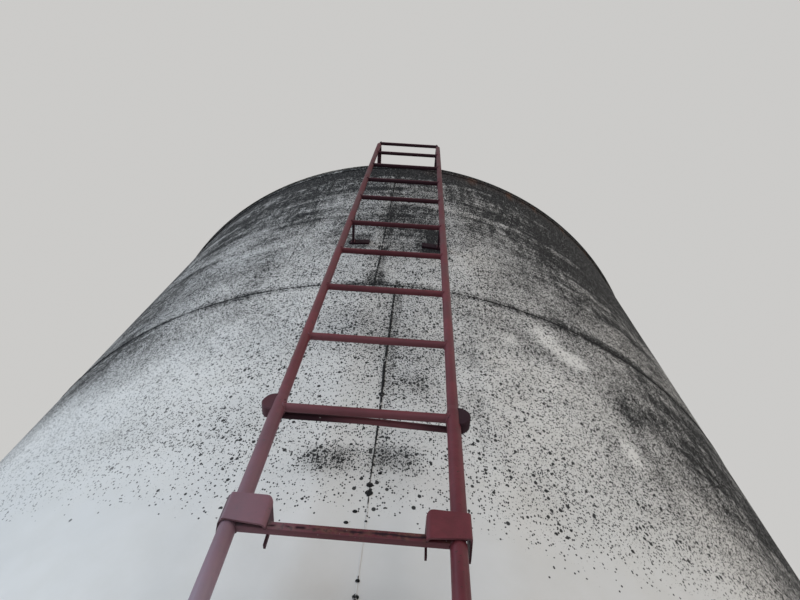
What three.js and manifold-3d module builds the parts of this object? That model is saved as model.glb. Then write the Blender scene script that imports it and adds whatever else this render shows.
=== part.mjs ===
// Hopper bottom grain bin with its outside ladder. Millimetres, +Z up, the ladder at the front, towards -Y.
// The origin is on the ground, on the bin's axis.
import * as THREE from 'three';
import { mergeVertices } from 'three/addons/utils/BufferGeometryUtils.js';
import Module from 'manifold-3d';

const wasm = await Module();
wasm.setup();

// Driving dimensions
const BIN_RADIUS = 1829;          // outside of the wall: a 12 ft bin
const COURSE_HEIGHT = 1893;       // one ring of wall sheets
const COURSE_COUNT = 2;
const WALL_THICKNESS = 3;
const HOPPER_SLOPE = 40;          // degrees below level
const HOPPER_THICKNESS = 4;
const ROOF_SLOPE = 30;            // degrees above level
const ROOF_THICKNESS = 3;
const ROOF_OVERHANG = 15;         // past the wall
const OUTLET_RADIUS = 180;
const FILL_RADIUS = 250;
const LEG_SIZE = 102;             // square tube
const LEG_TOP = 2140;
const LEG_COUNT = 6;
const BASE_RING_WIDTH = 120;
const BASE_RING_HEIGHT = 60;
const LADDER_STANDOFF = 120;      // rail axis to wall
const RAIL_HALF_SPACING = 197;    // bin axis plane to rail axis
const UPPER_RAIL_RADIUS = 13.35;
const LOWER_RAIL_RADIUS = 15.4;
const LOWER_LADDER_X = { left: -205, right: 193.8 };  // the lower ladder stands a little off the upper rails
const RUNG_RADIUS = 10.5;
const RUNG_STEP = 326;
const TOP_RUNG_STEP = 335;        // the topmost length of ladder has its rungs a little wider apart
const SOCKET_RUNG_Z = 2485;       // flat-faced top rung of the lower ladder, which the sockets hook over
const SPLICE_Z = 2833;            // round bosses, where the thin rails meet the thick ones
const TOP_LENGTH_FIRST_RUNG_Z = 4520;
const LADDER_TOP_Z = 5830;        // axis of the rails where they lie level over the eave
const UPPER_STANDOFF_Z = 4235;
const LOWER_STANDOFF_Z = 1985;

// Shared fits and facets
const FIT = 0.3;                  // clearance between pieces that touch
const SHEET_COUNT = 3;            // sheets in each course, hopper and roof
const SHEET_FACETS = 60;          // along each sheet's arc
const RING_FACETS = 40;
const TUBE_FACETS = 16;
const ROUND_FACETS = 48;          // outlet neck, fill collar, lid
const CUTTER_FACETS = 240;        // bodies that pieces are cut back to
const FULL_TURN = Math.PI * 2;
const CUT_PAST = 1;               // how far a cutter runs past the face it cuts

// Places worked out from the driving dimensions
const WALL_BOTTOM = COURSE_HEIGHT;
const EAVE_Z = WALL_BOTTOM + COURSE_COUNT * COURSE_HEIGHT;
const HOPPER_RISE = Math.tan(THREE.MathUtils.degToRad(HOPPER_SLOPE));
const ROOF_RISE = Math.tan(THREE.MathUtils.degToRad(ROOF_SLOPE));
const HOPPER_RING_THICKNESS = 6;
const HOPPER_RING_HEIGHT = 100;
const EAVE_RING_THICKNESS = 5;
const EAVE_RING_HEIGHT = 40;
const LEG_RADIUS = BIN_RADIUS + HOPPER_RING_THICKNESS + FIT + LEG_SIZE / 2;
const LADDER_Y = -(BIN_RADIUS + LADDER_STANDOFF);
const HOPPER_BOTTOM = WALL_BOTTOM - (BIN_RADIUS - OUTLET_RADIUS) * HOPPER_RISE;

// Paints
const whitePaint = () => new THREE.MeshStandardMaterial({ color: 0xc9cac6, roughness: 0.45, metalness: 0.0 });
const maroonPaint = () => new THREE.MeshStandardMaterial({ color: 0x5e1c22, roughness: 0.4, metalness: 0.0 });
const galvanised = () => new THREE.MeshStandardMaterial({ color: 0x9a9c9c, roughness: 0.5, metalness: 0.8 });

const bin = new THREE.Group();

function addPiece(name, geometry, material) {
  const mesh = new THREE.Mesh(geometry, material);
  mesh.name = name;
  bin.add(mesh);
}

// Solids: a closed geometry becomes a manifold, and a manifold becomes a geometry again
function signedVolume(geometry) {
  const p = geometry.attributes.position;
  const index = geometry.index;
  const [a, b, c] = [new THREE.Vector3(), new THREE.Vector3(), new THREE.Vector3()];
  let sum = 0;
  for (let i = 0; i < index.count; i += 3) {
    a.fromBufferAttribute(p, index.getX(i));
    b.fromBufferAttribute(p, index.getX(i + 1));
    c.fromBufferAttribute(p, index.getX(i + 2));
    sum += a.dot(b.cross(c));
  }
  return sum;
}

function solid(geometry) {
  geometry.deleteAttribute('normal');
  geometry.deleteAttribute('uv');
  const merged = mergeVertices(geometry, 1e-3);
  const triVerts = Uint32Array.from(merged.index.array);
  if (signedVolume(merged) < 0) {
    for (let i = 0; i < triVerts.length; i += 3) {
      [triVerts[i + 1], triVerts[i + 2]] = [triVerts[i + 2], triVerts[i + 1]];
    }
  }
  const vertProperties = Float32Array.from(merged.attributes.position.array);
  return new wasm.Manifold(new wasm.Mesh({ numProp: 3, vertProperties, triVerts }));
}

function geometryOf(manifold) {
  const mesh = manifold.getMesh();
  const geometry = new THREE.BufferGeometry();
  geometry.setAttribute('position', new THREE.BufferAttribute(mesh.vertProperties, 3));
  geometry.setIndex(new THREE.BufferAttribute(mesh.triVerts, 1));
  return geometry;
}

const joined = (parts) => parts.reduce((whole, part) => whole.add(part));

// A block between two corners
function block(low, high) {
  const size = high.map((v, i) => v - low[i]);
  const geometry = new THREE.BoxGeometry(...size);
  geometry.translate(...high.map((v, i) => (v + low[i]) / 2));
  return solid(geometry);
}

// A round bar between two points
function bar(from, to, radius) {
  const start = new THREE.Vector3(...from);
  const along = new THREE.Vector3(...to).sub(start);
  const geometry = new THREE.CylinderGeometry(radius, radius, along.length(), TUBE_FACETS);
  geometry.translate(0, along.length() / 2, 0);
  const up = new THREE.Vector3(0, 1, 0);
  geometry.applyQuaternion(new THREE.Quaternion().setFromUnitVectors(up, along.clone().normalize()));
  geometry.translate(...from);
  return solid(geometry);
}

// A profile of [radius, height] points turned about the bin's axis
function turned(profile, facets) {
  const points = profile.map(([r, z]) => new THREE.Vector2(r, z));
  const geometry = new THREE.LatheGeometry(points, facets);
  geometry.rotateX(Math.PI / 2);
  return solid(geometry);
}

// Angles run from the front (-Y) towards +X
const frontAngle = (degrees) => THREE.MathUtils.degToRad(degrees) - Math.PI / 2;

// An upright curved strip, from one radius to another, between two heights. Its inner corners lie a little
// outside the inner radius, so that no facet cuts into it
function curvedStrip(inner, outer, bottom, top, startDegrees, sweepDegrees, facets) {
  const start = frontAngle(startDegrees) + FIT / 2 / outer;
  const end = frontAngle(startDegrees + sweepDegrees) - FIT / 2 / outer;
  const innerCorners = inner / Math.cos((end - start) / facets / 2);
  const shape = new THREE.Shape();
  shape.absarc(0, 0, outer, start, end, false);
  shape.absarc(0, 0, innerCorners, end, start, true);
  const settings = { depth: top - bottom, bevelEnabled: false, curveSegments: facets / 2 };
  const geometry = new THREE.ExtrudeGeometry(shape, settings);
  geometry.translate(0, 0, bottom);
  return solid(geometry);
}

// The part of a turned solid that lies in one sector, with a fit's clearance to its neighbours
function sector(whole, startDegrees, sweepDegrees, reach) {
  const [start, end] = [frontAngle(startDegrees), frontAngle(startDegrees + sweepDegrees)];
  const shape = new THREE.Shape();
  shape.moveTo(0, 0);
  shape.lineTo(reach * Math.cos(start), reach * Math.sin(start));
  shape.absarc(0, 0, reach, start, end, false);
  const geometry = new THREE.ExtrudeGeometry(shape, { depth: EAVE_Z * 2, bevelEnabled: false });
  const middle = (start + end) / 2;
  const shift = FIT / 2 / Math.sin((end - start) / 2);
  geometry.translate(shift * Math.cos(middle), shift * Math.sin(middle), -EAVE_Z / 2);
  return whole.intersect(solid(geometry));
}

const SHEET_SWEEP = 360 / SHEET_COUNT;
const sheetStart = (first, i) => first + i * SHEET_SWEEP;
const SECTOR_REACH = BIN_RADIUS * 3;

// Where the first joint of each ring and cone stands, in degrees from the front
const FIRST_JOINT = { baseRing: 0, hopperRing: 0, hopper: 60, eaveRing: 30, roof: 60 };

// Base ring: a rolled channel on the ground, in three lengths that meet between the legs
function makeBaseRing() {
  const [inner, outer] = [LEG_RADIUS - BASE_RING_WIDTH / 2, LEG_RADIUS + BASE_RING_WIDTH / 2];
  for (let i = 0; i < SHEET_COUNT; i++) {
    const start = sheetStart(FIRST_JOINT.baseRing, i);
    const arc = curvedStrip(inner, outer, 0, BASE_RING_HEIGHT, start, SHEET_SWEEP, RING_FACETS);
    addPiece(`base_ring_${i + 1}`, geometryOf(arc), maroonPaint());
  }
}

// Legs: square tubes on foot plates, welded to the hopper ring, with a saddle plate up the wall
function makeLegs() {
  const FOOT = { halfWidth: 90, halfDepth: 56, thickness: 10 };
  const SADDLE = { halfDegrees: 4, top: LEG_TOP + 120, lap: 1, facets: 8 };
  const half = LEG_SIZE / 2;
  const footBottom = BASE_RING_HEIGHT + FIT;
  const ringTop = WALL_BOTTOM + HOPPER_RING_HEIGHT / 2;
  for (let i = 0; i < LEG_COUNT; i++) {
    const azimuth = (i + 0.5) * (360 / LEG_COUNT);
    const post = block([-half, -LEG_RADIUS - half, footBottom], [half, -LEG_RADIUS + half, LEG_TOP]);
    const foot = block(
      [-FOOT.halfWidth, -LEG_RADIUS - FOOT.halfDepth, footBottom],
      [FOOT.halfWidth, -LEG_RADIUS + FOOT.halfDepth, footBottom + FOOT.thickness],
    );
    const saddle = curvedStrip(
      BIN_RADIUS + FIT, BIN_RADIUS + HOPPER_RING_THICKNESS + FIT + SADDLE.lap,
      ringTop + FIT, SADDLE.top, -SADDLE.halfDegrees, 2 * SADDLE.halfDegrees, SADDLE.facets,
    );
    const leg = geometryOf(joined([post, foot, saddle]));
    leg.rotateZ(THREE.MathUtils.degToRad(azimuth));
    addPiece(`leg_${i + 1}`, leg, maroonPaint());
  }
}

// Hopper ring: a flat band round the joint of wall and hopper
function makeHopperRing() {
  const [inner, outer] = [BIN_RADIUS + FIT, BIN_RADIUS + HOPPER_RING_THICKNESS];
  const [bottom, top] = [WALL_BOTTOM - HOPPER_RING_HEIGHT / 2, WALL_BOTTOM + HOPPER_RING_HEIGHT / 2];
  for (let i = 0; i < SHEET_COUNT; i++) {
    const start = sheetStart(FIRST_JOINT.hopperRing, i);
    const arc = curvedStrip(inner, outer, bottom, top, start, SHEET_SWEEP, RING_FACETS);
    addPiece(`hopper_ring_${i + 1}`, geometryOf(arc), whitePaint());
  }
}

// Hopper: three rolled sheets of a cone that hangs from the wall's bottom edge
function makeHopper() {
  const top = WALL_BOTTOM - FIT;
  const drop = (BIN_RADIUS - OUTLET_RADIUS) * HOPPER_RISE;
  const through = HOPPER_THICKNESS / Math.cos(THREE.MathUtils.degToRad(HOPPER_SLOPE));
  const cone = turned([
    [OUTLET_RADIUS, top - drop - through],
    [BIN_RADIUS, top - through],
    [BIN_RADIUS, top],
    [OUTLET_RADIUS, top - drop],
    [OUTLET_RADIUS, top - drop - through],
  ], SHEET_COUNT * SHEET_FACETS);
  for (let i = 0; i < SHEET_COUNT; i++) {
    const sheet = sector(cone, sheetStart(FIRST_JOINT.hopper, i), SHEET_SWEEP, SECTOR_REACH);
    addPiece(`hopper_sheet_${i + 1}`, geometryOf(sheet), whitePaint());
  }
}

// Outlet: a round neck with a flange, and under it a slide gate that pulls out at the back
const NECK = { bottom: HOPPER_BOTTOM - 110, wall: 4, flangeRadius: 215, flangeThickness: 8 };
const GATE = { half: 215, mouth: 150, height: 48, plateHalf: 180, plateThickness: 6, pull: 430 };

function makeOutlet() {
  const outer = OUTLET_RADIUS - FIT;
  const inner = outer - NECK.wall;
  const neck = turned([
    [inner, NECK.bottom],
    [NECK.flangeRadius, NECK.bottom],
    [NECK.flangeRadius, NECK.bottom + NECK.flangeThickness],
    [outer, NECK.bottom + NECK.flangeThickness],
    [outer, HOPPER_BOTTOM],
    [inner, HOPPER_BOTTOM],
    [inner, NECK.bottom],
  ], ROUND_FACETS);
  addPiece('outlet_neck', geometryOf(neck), whitePaint());

  const top = NECK.bottom - FIT;
  const bottom = top - GATE.height;
  const slotBottom = (top + bottom - GATE.plateThickness) / 2;
  const slotTop = slotBottom + GATE.plateThickness;
  const housing = block([-GATE.half, -GATE.half, bottom], [GATE.half, GATE.half, top]);
  const mouth = block(
    [-GATE.mouth, -GATE.mouth, bottom - CUT_PAST],
    [GATE.mouth, GATE.mouth, top + CUT_PAST],
  );
  const slot = block(
    [-GATE.plateHalf - FIT, -GATE.plateHalf - FIT, slotBottom - FIT],
    [GATE.plateHalf + FIT, GATE.half + CUT_PAST, slotTop + FIT],
  );
  addPiece('gate_housing', geometryOf(housing.subtract(mouth).subtract(slot)), maroonPaint());

  const GRIP = { half: 90, radius: 9 };
  const middle = (slotBottom + slotTop) / 2;
  const plate = block([-GATE.plateHalf, -GATE.plateHalf, slotBottom], [GATE.plateHalf, GATE.pull, slotTop]);
  const grip = bar([-GRIP.half, GATE.pull, middle], [GRIP.half, GATE.pull, middle], GRIP.radius);
  addPiece('gate_plate', geometryOf(plate.add(grip)), galvanised());
}

// Wall: two courses of three rolled sheets. The front upright seams are staggered, as measured
function makeWall() {
  const FRONT_SEAM = [0.67, -1.81];
  for (let course = 0; course < COURSE_COUNT; course++) {
    const bottom = WALL_BOTTOM + course * COURSE_HEIGHT + (course ? FIT : 0);
    const top = WALL_BOTTOM + (course + 1) * COURSE_HEIGHT;
    const level = course ? 'upper' : 'lower';
    for (let i = 0; i < SHEET_COUNT; i++) {
      const start = sheetStart(FRONT_SEAM[course], i);
      const inner = BIN_RADIUS - WALL_THICKNESS;
      const sheet = curvedStrip(inner, BIN_RADIUS, bottom, top, start, SHEET_SWEEP, SHEET_FACETS);
      addPiece(`${level}_wall_sheet_${i + 1}`, geometryOf(sheet), whitePaint());
    }
  }
}

// Eave ring: a flat band round the top of the wall
function makeEaveRing() {
  const [inner, outer] = [BIN_RADIUS + FIT, BIN_RADIUS + EAVE_RING_THICKNESS];
  for (let i = 0; i < SHEET_COUNT; i++) {
    const start = sheetStart(FIRST_JOINT.eaveRing, i);
    const arc = curvedStrip(inner, outer, EAVE_Z - EAVE_RING_HEIGHT, EAVE_Z, start, SHEET_SWEEP, RING_FACETS);
    addPiece(`eave_ring_${i + 1}`, geometryOf(arc), whitePaint());
  }
}

// Height of the roof's underside and top at a radius
const ROOF_THROUGH = ROOF_THICKNESS / Math.cos(THREE.MathUtils.degToRad(ROOF_SLOPE));
const roofUnder = (r) => EAVE_Z + FIT + (BIN_RADIUS + EAVE_RING_THICKNESS - r) * ROOF_RISE;
const roofTop = (r) => roofUnder(r) + ROOF_THROUGH;

function makeRoof() {
  const edge = BIN_RADIUS + ROOF_OVERHANG;
  const cone = turned([
    [FILL_RADIUS, roofUnder(FILL_RADIUS)],
    [edge, roofUnder(edge)],
    [edge, roofTop(edge)],
    [FILL_RADIUS, roofTop(FILL_RADIUS)],
    [FILL_RADIUS, roofUnder(FILL_RADIUS)],
  ], SHEET_COUNT * SHEET_FACETS);
  for (let i = 0; i < SHEET_COUNT; i++) {
    const sheet = sector(cone, sheetStart(FIRST_JOINT.roof, i), SHEET_SWEEP, SECTOR_REACH);
    addPiece(`roof_sheet_${i + 1}`, geometryOf(sheet), whitePaint());
  }
}

// Fill collar in the middle of the roof, and its lid
function makeFillTop() {
  const COLLAR = { wall: 4, above: 110 };
  const outer = FILL_RADIUS - FIT;
  const inner = outer - COLLAR.wall;
  const bottom = roofUnder(FILL_RADIUS);
  const top = roofTop(FILL_RADIUS) + COLLAR.above;
  const section = [[inner, bottom], [outer, bottom], [outer, top], [inner, top], [inner, bottom]];
  const collar = turned(section, ROUND_FACETS);
  addPiece('fill_collar', geometryOf(collar), whitePaint());

  const LID = { radius: 262, rim: 34, thickness: 3, crown: 26 };
  const seat = top + FIT;
  const lid = turned([
    [0, seat],
    [LID.radius - LID.thickness, seat],
    [LID.radius - LID.thickness, seat - LID.rim],
    [LID.radius, seat - LID.rim],
    [LID.radius, seat + LID.thickness],
    [0, seat + LID.crown],
  ], ROUND_FACETS);
  addPiece('fill_lid', geometryOf(lid), whitePaint());
}

// Everything on the bin's own surface is cut back to these two bodies, with a fit's clearance
const wallBody = turned(
  [[0, 0], [BIN_RADIUS + FIT, 0], [BIN_RADIUS + FIT, EAVE_Z], [0, EAVE_Z]],
  CUTTER_FACETS,
);
const roofEdge = BIN_RADIUS + ROOF_OVERHANG;
const roofBody = turned(
  [[0, WALL_BOTTOM], [roofEdge, WALL_BOTTOM], [roofEdge, roofTop(roofEdge) + FIT], [0, roofTop(0) + FIT]],
  CUTTER_FACETS,
);

// Ladder: rails and rungs
const rung = (z, left = -RAIL_HALF_SPACING, right = RAIL_HALF_SPACING) =>
  bar([left, LADDER_Y, z], [right, LADDER_Y, z], RUNG_RADIUS);
const rail = (side, bottom, top, radius) => {
  const x = side * RAIL_HALF_SPACING;
  return bar([x, LADDER_Y, bottom], [x, LADDER_Y, top], radius);
};
const turnedRail = (x, profile) => turned(profile, TUBE_FACETS).translate(x, LADDER_Y, 0);

const SPLICE = {
  radius: 31, front: -11, back: 19, outward: 6, leftAbove: 7, facets: 28,
  barRadius: 8.5, barBehindLeft: 27, barBehindRight: 36, barPastRail: 5, thickRailAbove: 13, flareAbove: 40,
};
const THICK_RAIL_TOP = SPLICE_Z + SPLICE.thickRailAbove;
const FLARE_TOP = SPLICE_Z + SPLICE.flareAbove;
const RETURN = { start: 5660, bend: 75, back: 380, steps: 30, topRungBelow: 19 };
const LOWER_LADDER_BOTTOM = 420;
const UPPER_RUNGS = 4;            // at the usual step, above the splice
const TOP_LENGTH_RUNGS = 4;       // at the wider step

// From the splice up to where the rails start to bend. Each rail flares at its foot to the thick rail's width
function makeUpperLadder() {
  const bottom = THICK_RAIL_TOP + FIT;
  const top = RETURN.start - FIT;
  const parts = [-1, 1].map((side) => turnedRail(side * RAIL_HALF_SPACING, [
    [0, bottom],
    [LOWER_RAIL_RADIUS, bottom],
    [UPPER_RAIL_RADIUS, FLARE_TOP],
    [UPPER_RAIL_RADIUS, top],
    [0, top],
  ]));
  for (let i = 1; i <= UPPER_RUNGS; i++) {
    parts.push(rung(SPLICE_Z + i * RUNG_STEP));
  }
  for (let i = 0; i < TOP_LENGTH_RUNGS; i++) {
    parts.push(rung(TOP_LENGTH_FIRST_RUNG_Z + i * TOP_RUNG_STEP));
  }
  addPiece('ladder_upper', geometryOf(joined(parts)), maroonPaint());
}

// The rails bend back over the eave and come down on the roof, with the last rung at the bend
function makeLadderReturn() {
  const section = new THREE.Shape();
  section.absarc(0, 0, UPPER_RAIL_RADIUS, 0, FULL_TURN, false);
  const parts = [-1, 1].map((side) => {
    const x = side * RAIL_HALF_SPACING;
    const path = new THREE.CurvePath();
    const bendStart = new THREE.Vector3(x, LADDER_Y, LADDER_TOP_Z - RETURN.bend);
    const corner = new THREE.Vector3(x, LADDER_Y, LADDER_TOP_Z);
    const bendEnd = new THREE.Vector3(x, LADDER_Y + RETURN.bend, LADDER_TOP_Z);
    path.add(new THREE.LineCurve3(new THREE.Vector3(x, LADDER_Y, RETURN.start), bendStart));
    path.add(new THREE.QuadraticBezierCurve3(bendStart, corner, bendEnd));
    path.add(new THREE.LineCurve3(bendEnd, new THREE.Vector3(x, LADDER_Y + RETURN.back, LADDER_TOP_Z)));
    const settings = {
      steps: RETURN.steps, bevelEnabled: false, extrudePath: path, curveSegments: TUBE_FACETS / 2,
    };
    return solid(new THREE.ExtrudeGeometry(section, settings));
  });
  parts.push(rung(LADDER_TOP_Z - RETURN.topRungBelow));
  addPiece('ladder_return', geometryOf(joined(parts).subtract(roofBody)), maroonPaint());
}

// Splice: a round boss clasps each rail from behind, with a rung between them. Behind the rung is a bar on
// two studs, a little askew. The left boss sits a little higher
function makeSplice() {
  const parts = [-1, 1].flatMap((side) => {
    const x = side * RAIL_HALF_SPACING;
    const behind = side > 0 ? SPLICE.barBehindRight : SPLICE.barBehindLeft;
    const length = SPLICE.back - SPLICE.front;
    const geometry = new THREE.CylinderGeometry(SPLICE.radius, SPLICE.radius, length, SPLICE.facets);
    geometry.translate(
      x + side * SPLICE.outward, LADDER_Y + (SPLICE.front + SPLICE.back) / 2,
      SPLICE_Z + (side > 0 ? 0 : SPLICE.leftAbove),
    );
    const stud = bar(
      [x, LADDER_Y + SPLICE.back - CUT_PAST, SPLICE_Z], [x, LADDER_Y + behind, SPLICE_Z], SPLICE.barRadius,
    );
    return [solid(geometry), stud];
  });
  parts.push(rung(SPLICE_Z));
  parts.push(bar(
    [-RAIL_HALF_SPACING - SPLICE.barPastRail, LADDER_Y + SPLICE.barBehindLeft, SPLICE_Z],
    [RAIL_HALF_SPACING + SPLICE.barPastRail, LADDER_Y + SPLICE.barBehindRight, SPLICE_Z],
    SPLICE.barRadius,
  ));
  const clear = [-1, 1].map((side) => rail(
    side, SPLICE_Z - 2 * SPLICE.radius, SPLICE_Z + 2 * SPLICE.radius, LOWER_RAIL_RADIUS + FIT,
  ));
  addPiece('ladder_splice', geometryOf(joined(parts).subtract(joined(clear))), maroonPaint());
}

// The lower ladder's top rung has flat faces and is a little higher on the left
const FLAT_RUNG = { depth: 14, height: 18, rise: 4 };
const FLAT_RUNG_Z = SOCKET_RUNG_Z + FLAT_RUNG.rise;
const FLAT_RUNG_TOP = FLAT_RUNG_Z + (FLAT_RUNG.rise + FLAT_RUNG.height) / 2;
const MIDDLE_BOTTOM = FLAT_RUNG_TOP + FIT;

// Two short thick rails between the splice and the sockets. Each ends inside its socket, above that rung
function makeMiddleRails() {
  for (const [name, side] of [['ladder_middle_left', -1], ['ladder_middle_right', 1]]) {
    const thick = rail(side, MIDDLE_BOTTOM, THICK_RAIL_TOP, LOWER_RAIL_RADIUS);
    addPiece(name, geometryOf(thick), maroonPaint());
  }
}

// Folded sockets at the foot of the thick rails: a front plate whose edges are bent back as cheeks. Each
// cheek has a notch for the rung, and behind it a strip that reaches lower than the plate. The lower ladder's
// rail ends between the cheeks. Places across are measured outwards from the thick rail's axis
const SOCKET = {
  plate: 4, innerEdge: -60, innerBend: 9, outerBend: 5.5, innerCorner: 14, outerCorner: 4,
  cheekBack: 29, stripDepth: 10, stripBottom: 2471, notchClear: 0.7,
};
const SOCKET_HEIGHTS = {
  right: { bottomInner: 2476.5, bottomOuter: 2482, topInner: 2542, topOuter: 2538 },
  left: { bottomInner: 2478.5, bottomOuter: 2488, topInner: 2547, topOuter: 2549 },
};
const SOCKET_FRONT = LADDER_Y - LOWER_RAIL_RADIUS - FIT - SOCKET.plate;
const SOCKET_BACK = LADDER_Y + SOCKET.cheekBack;
const SOCKET_OUTER_EDGE = LOWER_RAIL_RADIUS + FIT + SOCKET.plate;

// The bent plate seen from above, extruded over the socket's whole height
function socketFold(top) {
  const { plate, innerEdge, innerBend, outerBend, stripBottom } = SOCKET;
  const shape = new THREE.Shape();
  const innerBendX = innerEdge + innerBend;
  const outerBendX = SOCKET_OUTER_EDGE - outerBend;
  const [innerBendY, outerBendY] = [SOCKET_FRONT + innerBend, SOCKET_FRONT + outerBend];
  const [quarter, half] = [Math.PI / 2, Math.PI];
  shape.moveTo(innerEdge, SOCKET_BACK);
  shape.absarc(innerBendX, innerBendY, innerBend, half, half + quarter, false);
  shape.absarc(outerBendX, outerBendY, outerBend, -quarter, 0, false);
  shape.lineTo(SOCKET_OUTER_EDGE, SOCKET_BACK);
  shape.lineTo(SOCKET_OUTER_EDGE - plate, SOCKET_BACK);
  shape.absarc(outerBendX, outerBendY, outerBend - plate, 0, -quarter, true);
  shape.absarc(innerBendX, innerBendY, innerBend - plate, half + quarter, half, true);
  shape.lineTo(innerEdge + plate, SOCKET_BACK);
  const settings = { depth: top - stripBottom, bevelEnabled: false, curveSegments: TUBE_FACETS / 2 };
  const geometry = new THREE.ExtrudeGeometry(shape, settings);
  geometry.translate(0, 0, stripBottom);
  return solid(geometry);
}

// A front view outline, run through from one depth to another
function frontOutline(shape, from, to) {
  const geometry = new THREE.ExtrudeGeometry(shape, { depth: to - from, bevelEnabled: false });
  geometry.rotateX(Math.PI / 2);
  geometry.translate(0, to, 0);
  return solid(geometry);
}

function makeSocket(name, heights, rungTop, lowerRailX) {
  const { innerEdge, innerCorner, outerCorner, stripBottom } = SOCKET;
  const { bottomInner, bottomOuter, topInner, topOuter } = heights;
  const [low, left, right] = [stripBottom - CUT_PAST, innerEdge - CUT_PAST, SOCKET_OUTER_EDGE + CUT_PAST];
  const stripFront = SOCKET_BACK - SOCKET.stripDepth;

  const whole = new THREE.Shape();
  whole.moveTo(innerEdge, low);
  whole.lineTo(SOCKET_OUTER_EDGE, low);
  whole.lineTo(SOCKET_OUTER_EDGE, topOuter - outerCorner);
  whole.lineTo(SOCKET_OUTER_EDGE - outerCorner, topOuter);
  whole.lineTo(innerEdge + innerCorner, topInner);
  whole.quadraticCurveTo(innerEdge, topInner, innerEdge, topInner - innerCorner);

  const under = new THREE.Shape();
  under.moveTo(left, low);
  under.lineTo(right, low);
  under.lineTo(right, bottomOuter);
  under.lineTo(left, bottomInner);

  const notch = block(
    [left, LADDER_Y - FLAT_RUNG.depth / 2 - SOCKET.notchClear, low],
    [right, stripFront, rungTop + SOCKET.notchClear],
  );
  const lowerRail = bar(
    [lowerRailX, LADDER_Y, low], [lowerRailX, LADDER_Y, MIDDLE_BOTTOM], LOWER_RAIL_RADIUS + FIT,
  );
  const piece = socketFold(Math.max(topInner, topOuter))
    .intersect(frontOutline(whole, SOCKET_FRONT - CUT_PAST, SOCKET_BACK + CUT_PAST))
    .subtract(frontOutline(under, SOCKET_FRONT - CUT_PAST, stripFront))
    .subtract(notch)
    .subtract(lowerRail)
    .translate(RAIL_HALF_SPACING, 0, 0);
  addPiece(name, geometryOf(name.endsWith('left') ? piece.mirror([1, 0, 0]) : piece), maroonPaint());
}

function makeSockets() {
  const { left, right } = LOWER_LADDER_X;
  const rungTopRight = FLAT_RUNG_TOP - FLAT_RUNG.rise / 2;
  makeSocket('ladder_socket_left', SOCKET_HEIGHTS.left, FLAT_RUNG_TOP, -left - RAIL_HALF_SPACING);
  makeSocket('ladder_socket_right', SOCKET_HEIGHTS.right, rungTopRight, right - RAIL_HALF_SPACING);
}

// Lower ladder: rails whose tops narrow to round ends inside the sockets, the flat rung there, and the round
// rungs below it
function makeLowerLadder() {
  const DOME = { height: 38, steps: 6 };
  const LOWEST_RUNG_ABOVE_END = 80;
  const { left, right } = LOWER_LADDER_X;
  const dome = Array.from({ length: DOME.steps }, (_, i) => {
    const rise = (i / DOME.steps) * (Math.PI / 2);
    return [LOWER_RAIL_RADIUS * Math.cos(rise), FLAT_RUNG_TOP - DOME.height * (1 - Math.sin(rise))];
  });
  const parts = [left, right].map((x) => turnedRail(x, [
    [0, LOWER_LADDER_BOTTOM],
    [LOWER_RAIL_RADIUS, LOWER_LADDER_BOTTOM],
    ...dome,
    [0, FLAT_RUNG_TOP],
  ]));
  const across = right - left;
  const flatRung = new THREE.BoxGeometry(across, FLAT_RUNG.depth, FLAT_RUNG.height);
  flatRung.rotateY(Math.atan(FLAT_RUNG.rise / across));
  flatRung.translate((left + right) / 2, LADDER_Y, FLAT_RUNG_Z);
  parts.push(solid(flatRung));
  const lowest = LOWER_LADDER_BOTTOM + LOWEST_RUNG_ABOVE_END;
  for (let z = SOCKET_RUNG_Z - RUNG_STEP; z > lowest; z -= RUNG_STEP) {
    parts.push(rung(z, left, right));
  }
  addPiece('ladder_lower', geometryOf(joined(parts)), maroonPaint());
}

// Stand-offs: a flat strip on edge from the inner side of each rail back to a foot bent in along the wall
function makeStandoffs() {
  const STRIP = { half: 4, halfHeight: 17, inset: 7 };
  const FOOT = { inward: 80, outward: 6, depth: 9, halfHeight: 22, facets: 8 };
  const places = [
    ['standoff_upper_left', UPPER_STANDOFF_Z, -RAIL_HALF_SPACING, UPPER_RAIL_RADIUS],
    ['standoff_upper_right', UPPER_STANDOFF_Z, RAIL_HALF_SPACING, UPPER_RAIL_RADIUS],
    ['standoff_lower_left', LOWER_STANDOFF_Z, LOWER_LADDER_X.left, LOWER_RAIL_RADIUS],
    ['standoff_lower_right', LOWER_STANDOFF_Z, LOWER_LADDER_X.right, LOWER_RAIL_RADIUS],
  ];
  const wallAngle = (x) => THREE.MathUtils.radToDeg(Math.asin(x / BIN_RADIUS));
  for (const [name, z, railX, railRadius] of places) {
    const side = Math.sign(railX);
    const x = railX - side * STRIP.inset;
    const [low, high] = [z - FOOT.halfHeight, z + FOOT.halfHeight];
    const wallY = -Math.sqrt(BIN_RADIUS ** 2 - railX ** 2);
    const strip = block(
      [x - STRIP.half, LADDER_Y, z - STRIP.halfHeight],
      [x + STRIP.half, wallY + FOOT.depth, z + STRIP.halfHeight],
    );
    const ends = [wallAngle(railX - side * FOOT.inward), wallAngle(railX + side * FOOT.outward)];
    const foot = curvedStrip(
      BIN_RADIUS - FOOT.depth, BIN_RADIUS + FOOT.depth, low, high,
      Math.min(...ends), Math.abs(ends[1] - ends[0]), FOOT.facets,
    );
    const rail = bar([railX, LADDER_Y, low], [railX, LADDER_Y, high], railRadius + FIT);
    addPiece(name, geometryOf(strip.add(foot).subtract(wallBody).subtract(rail)), maroonPaint());
  }
}

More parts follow.
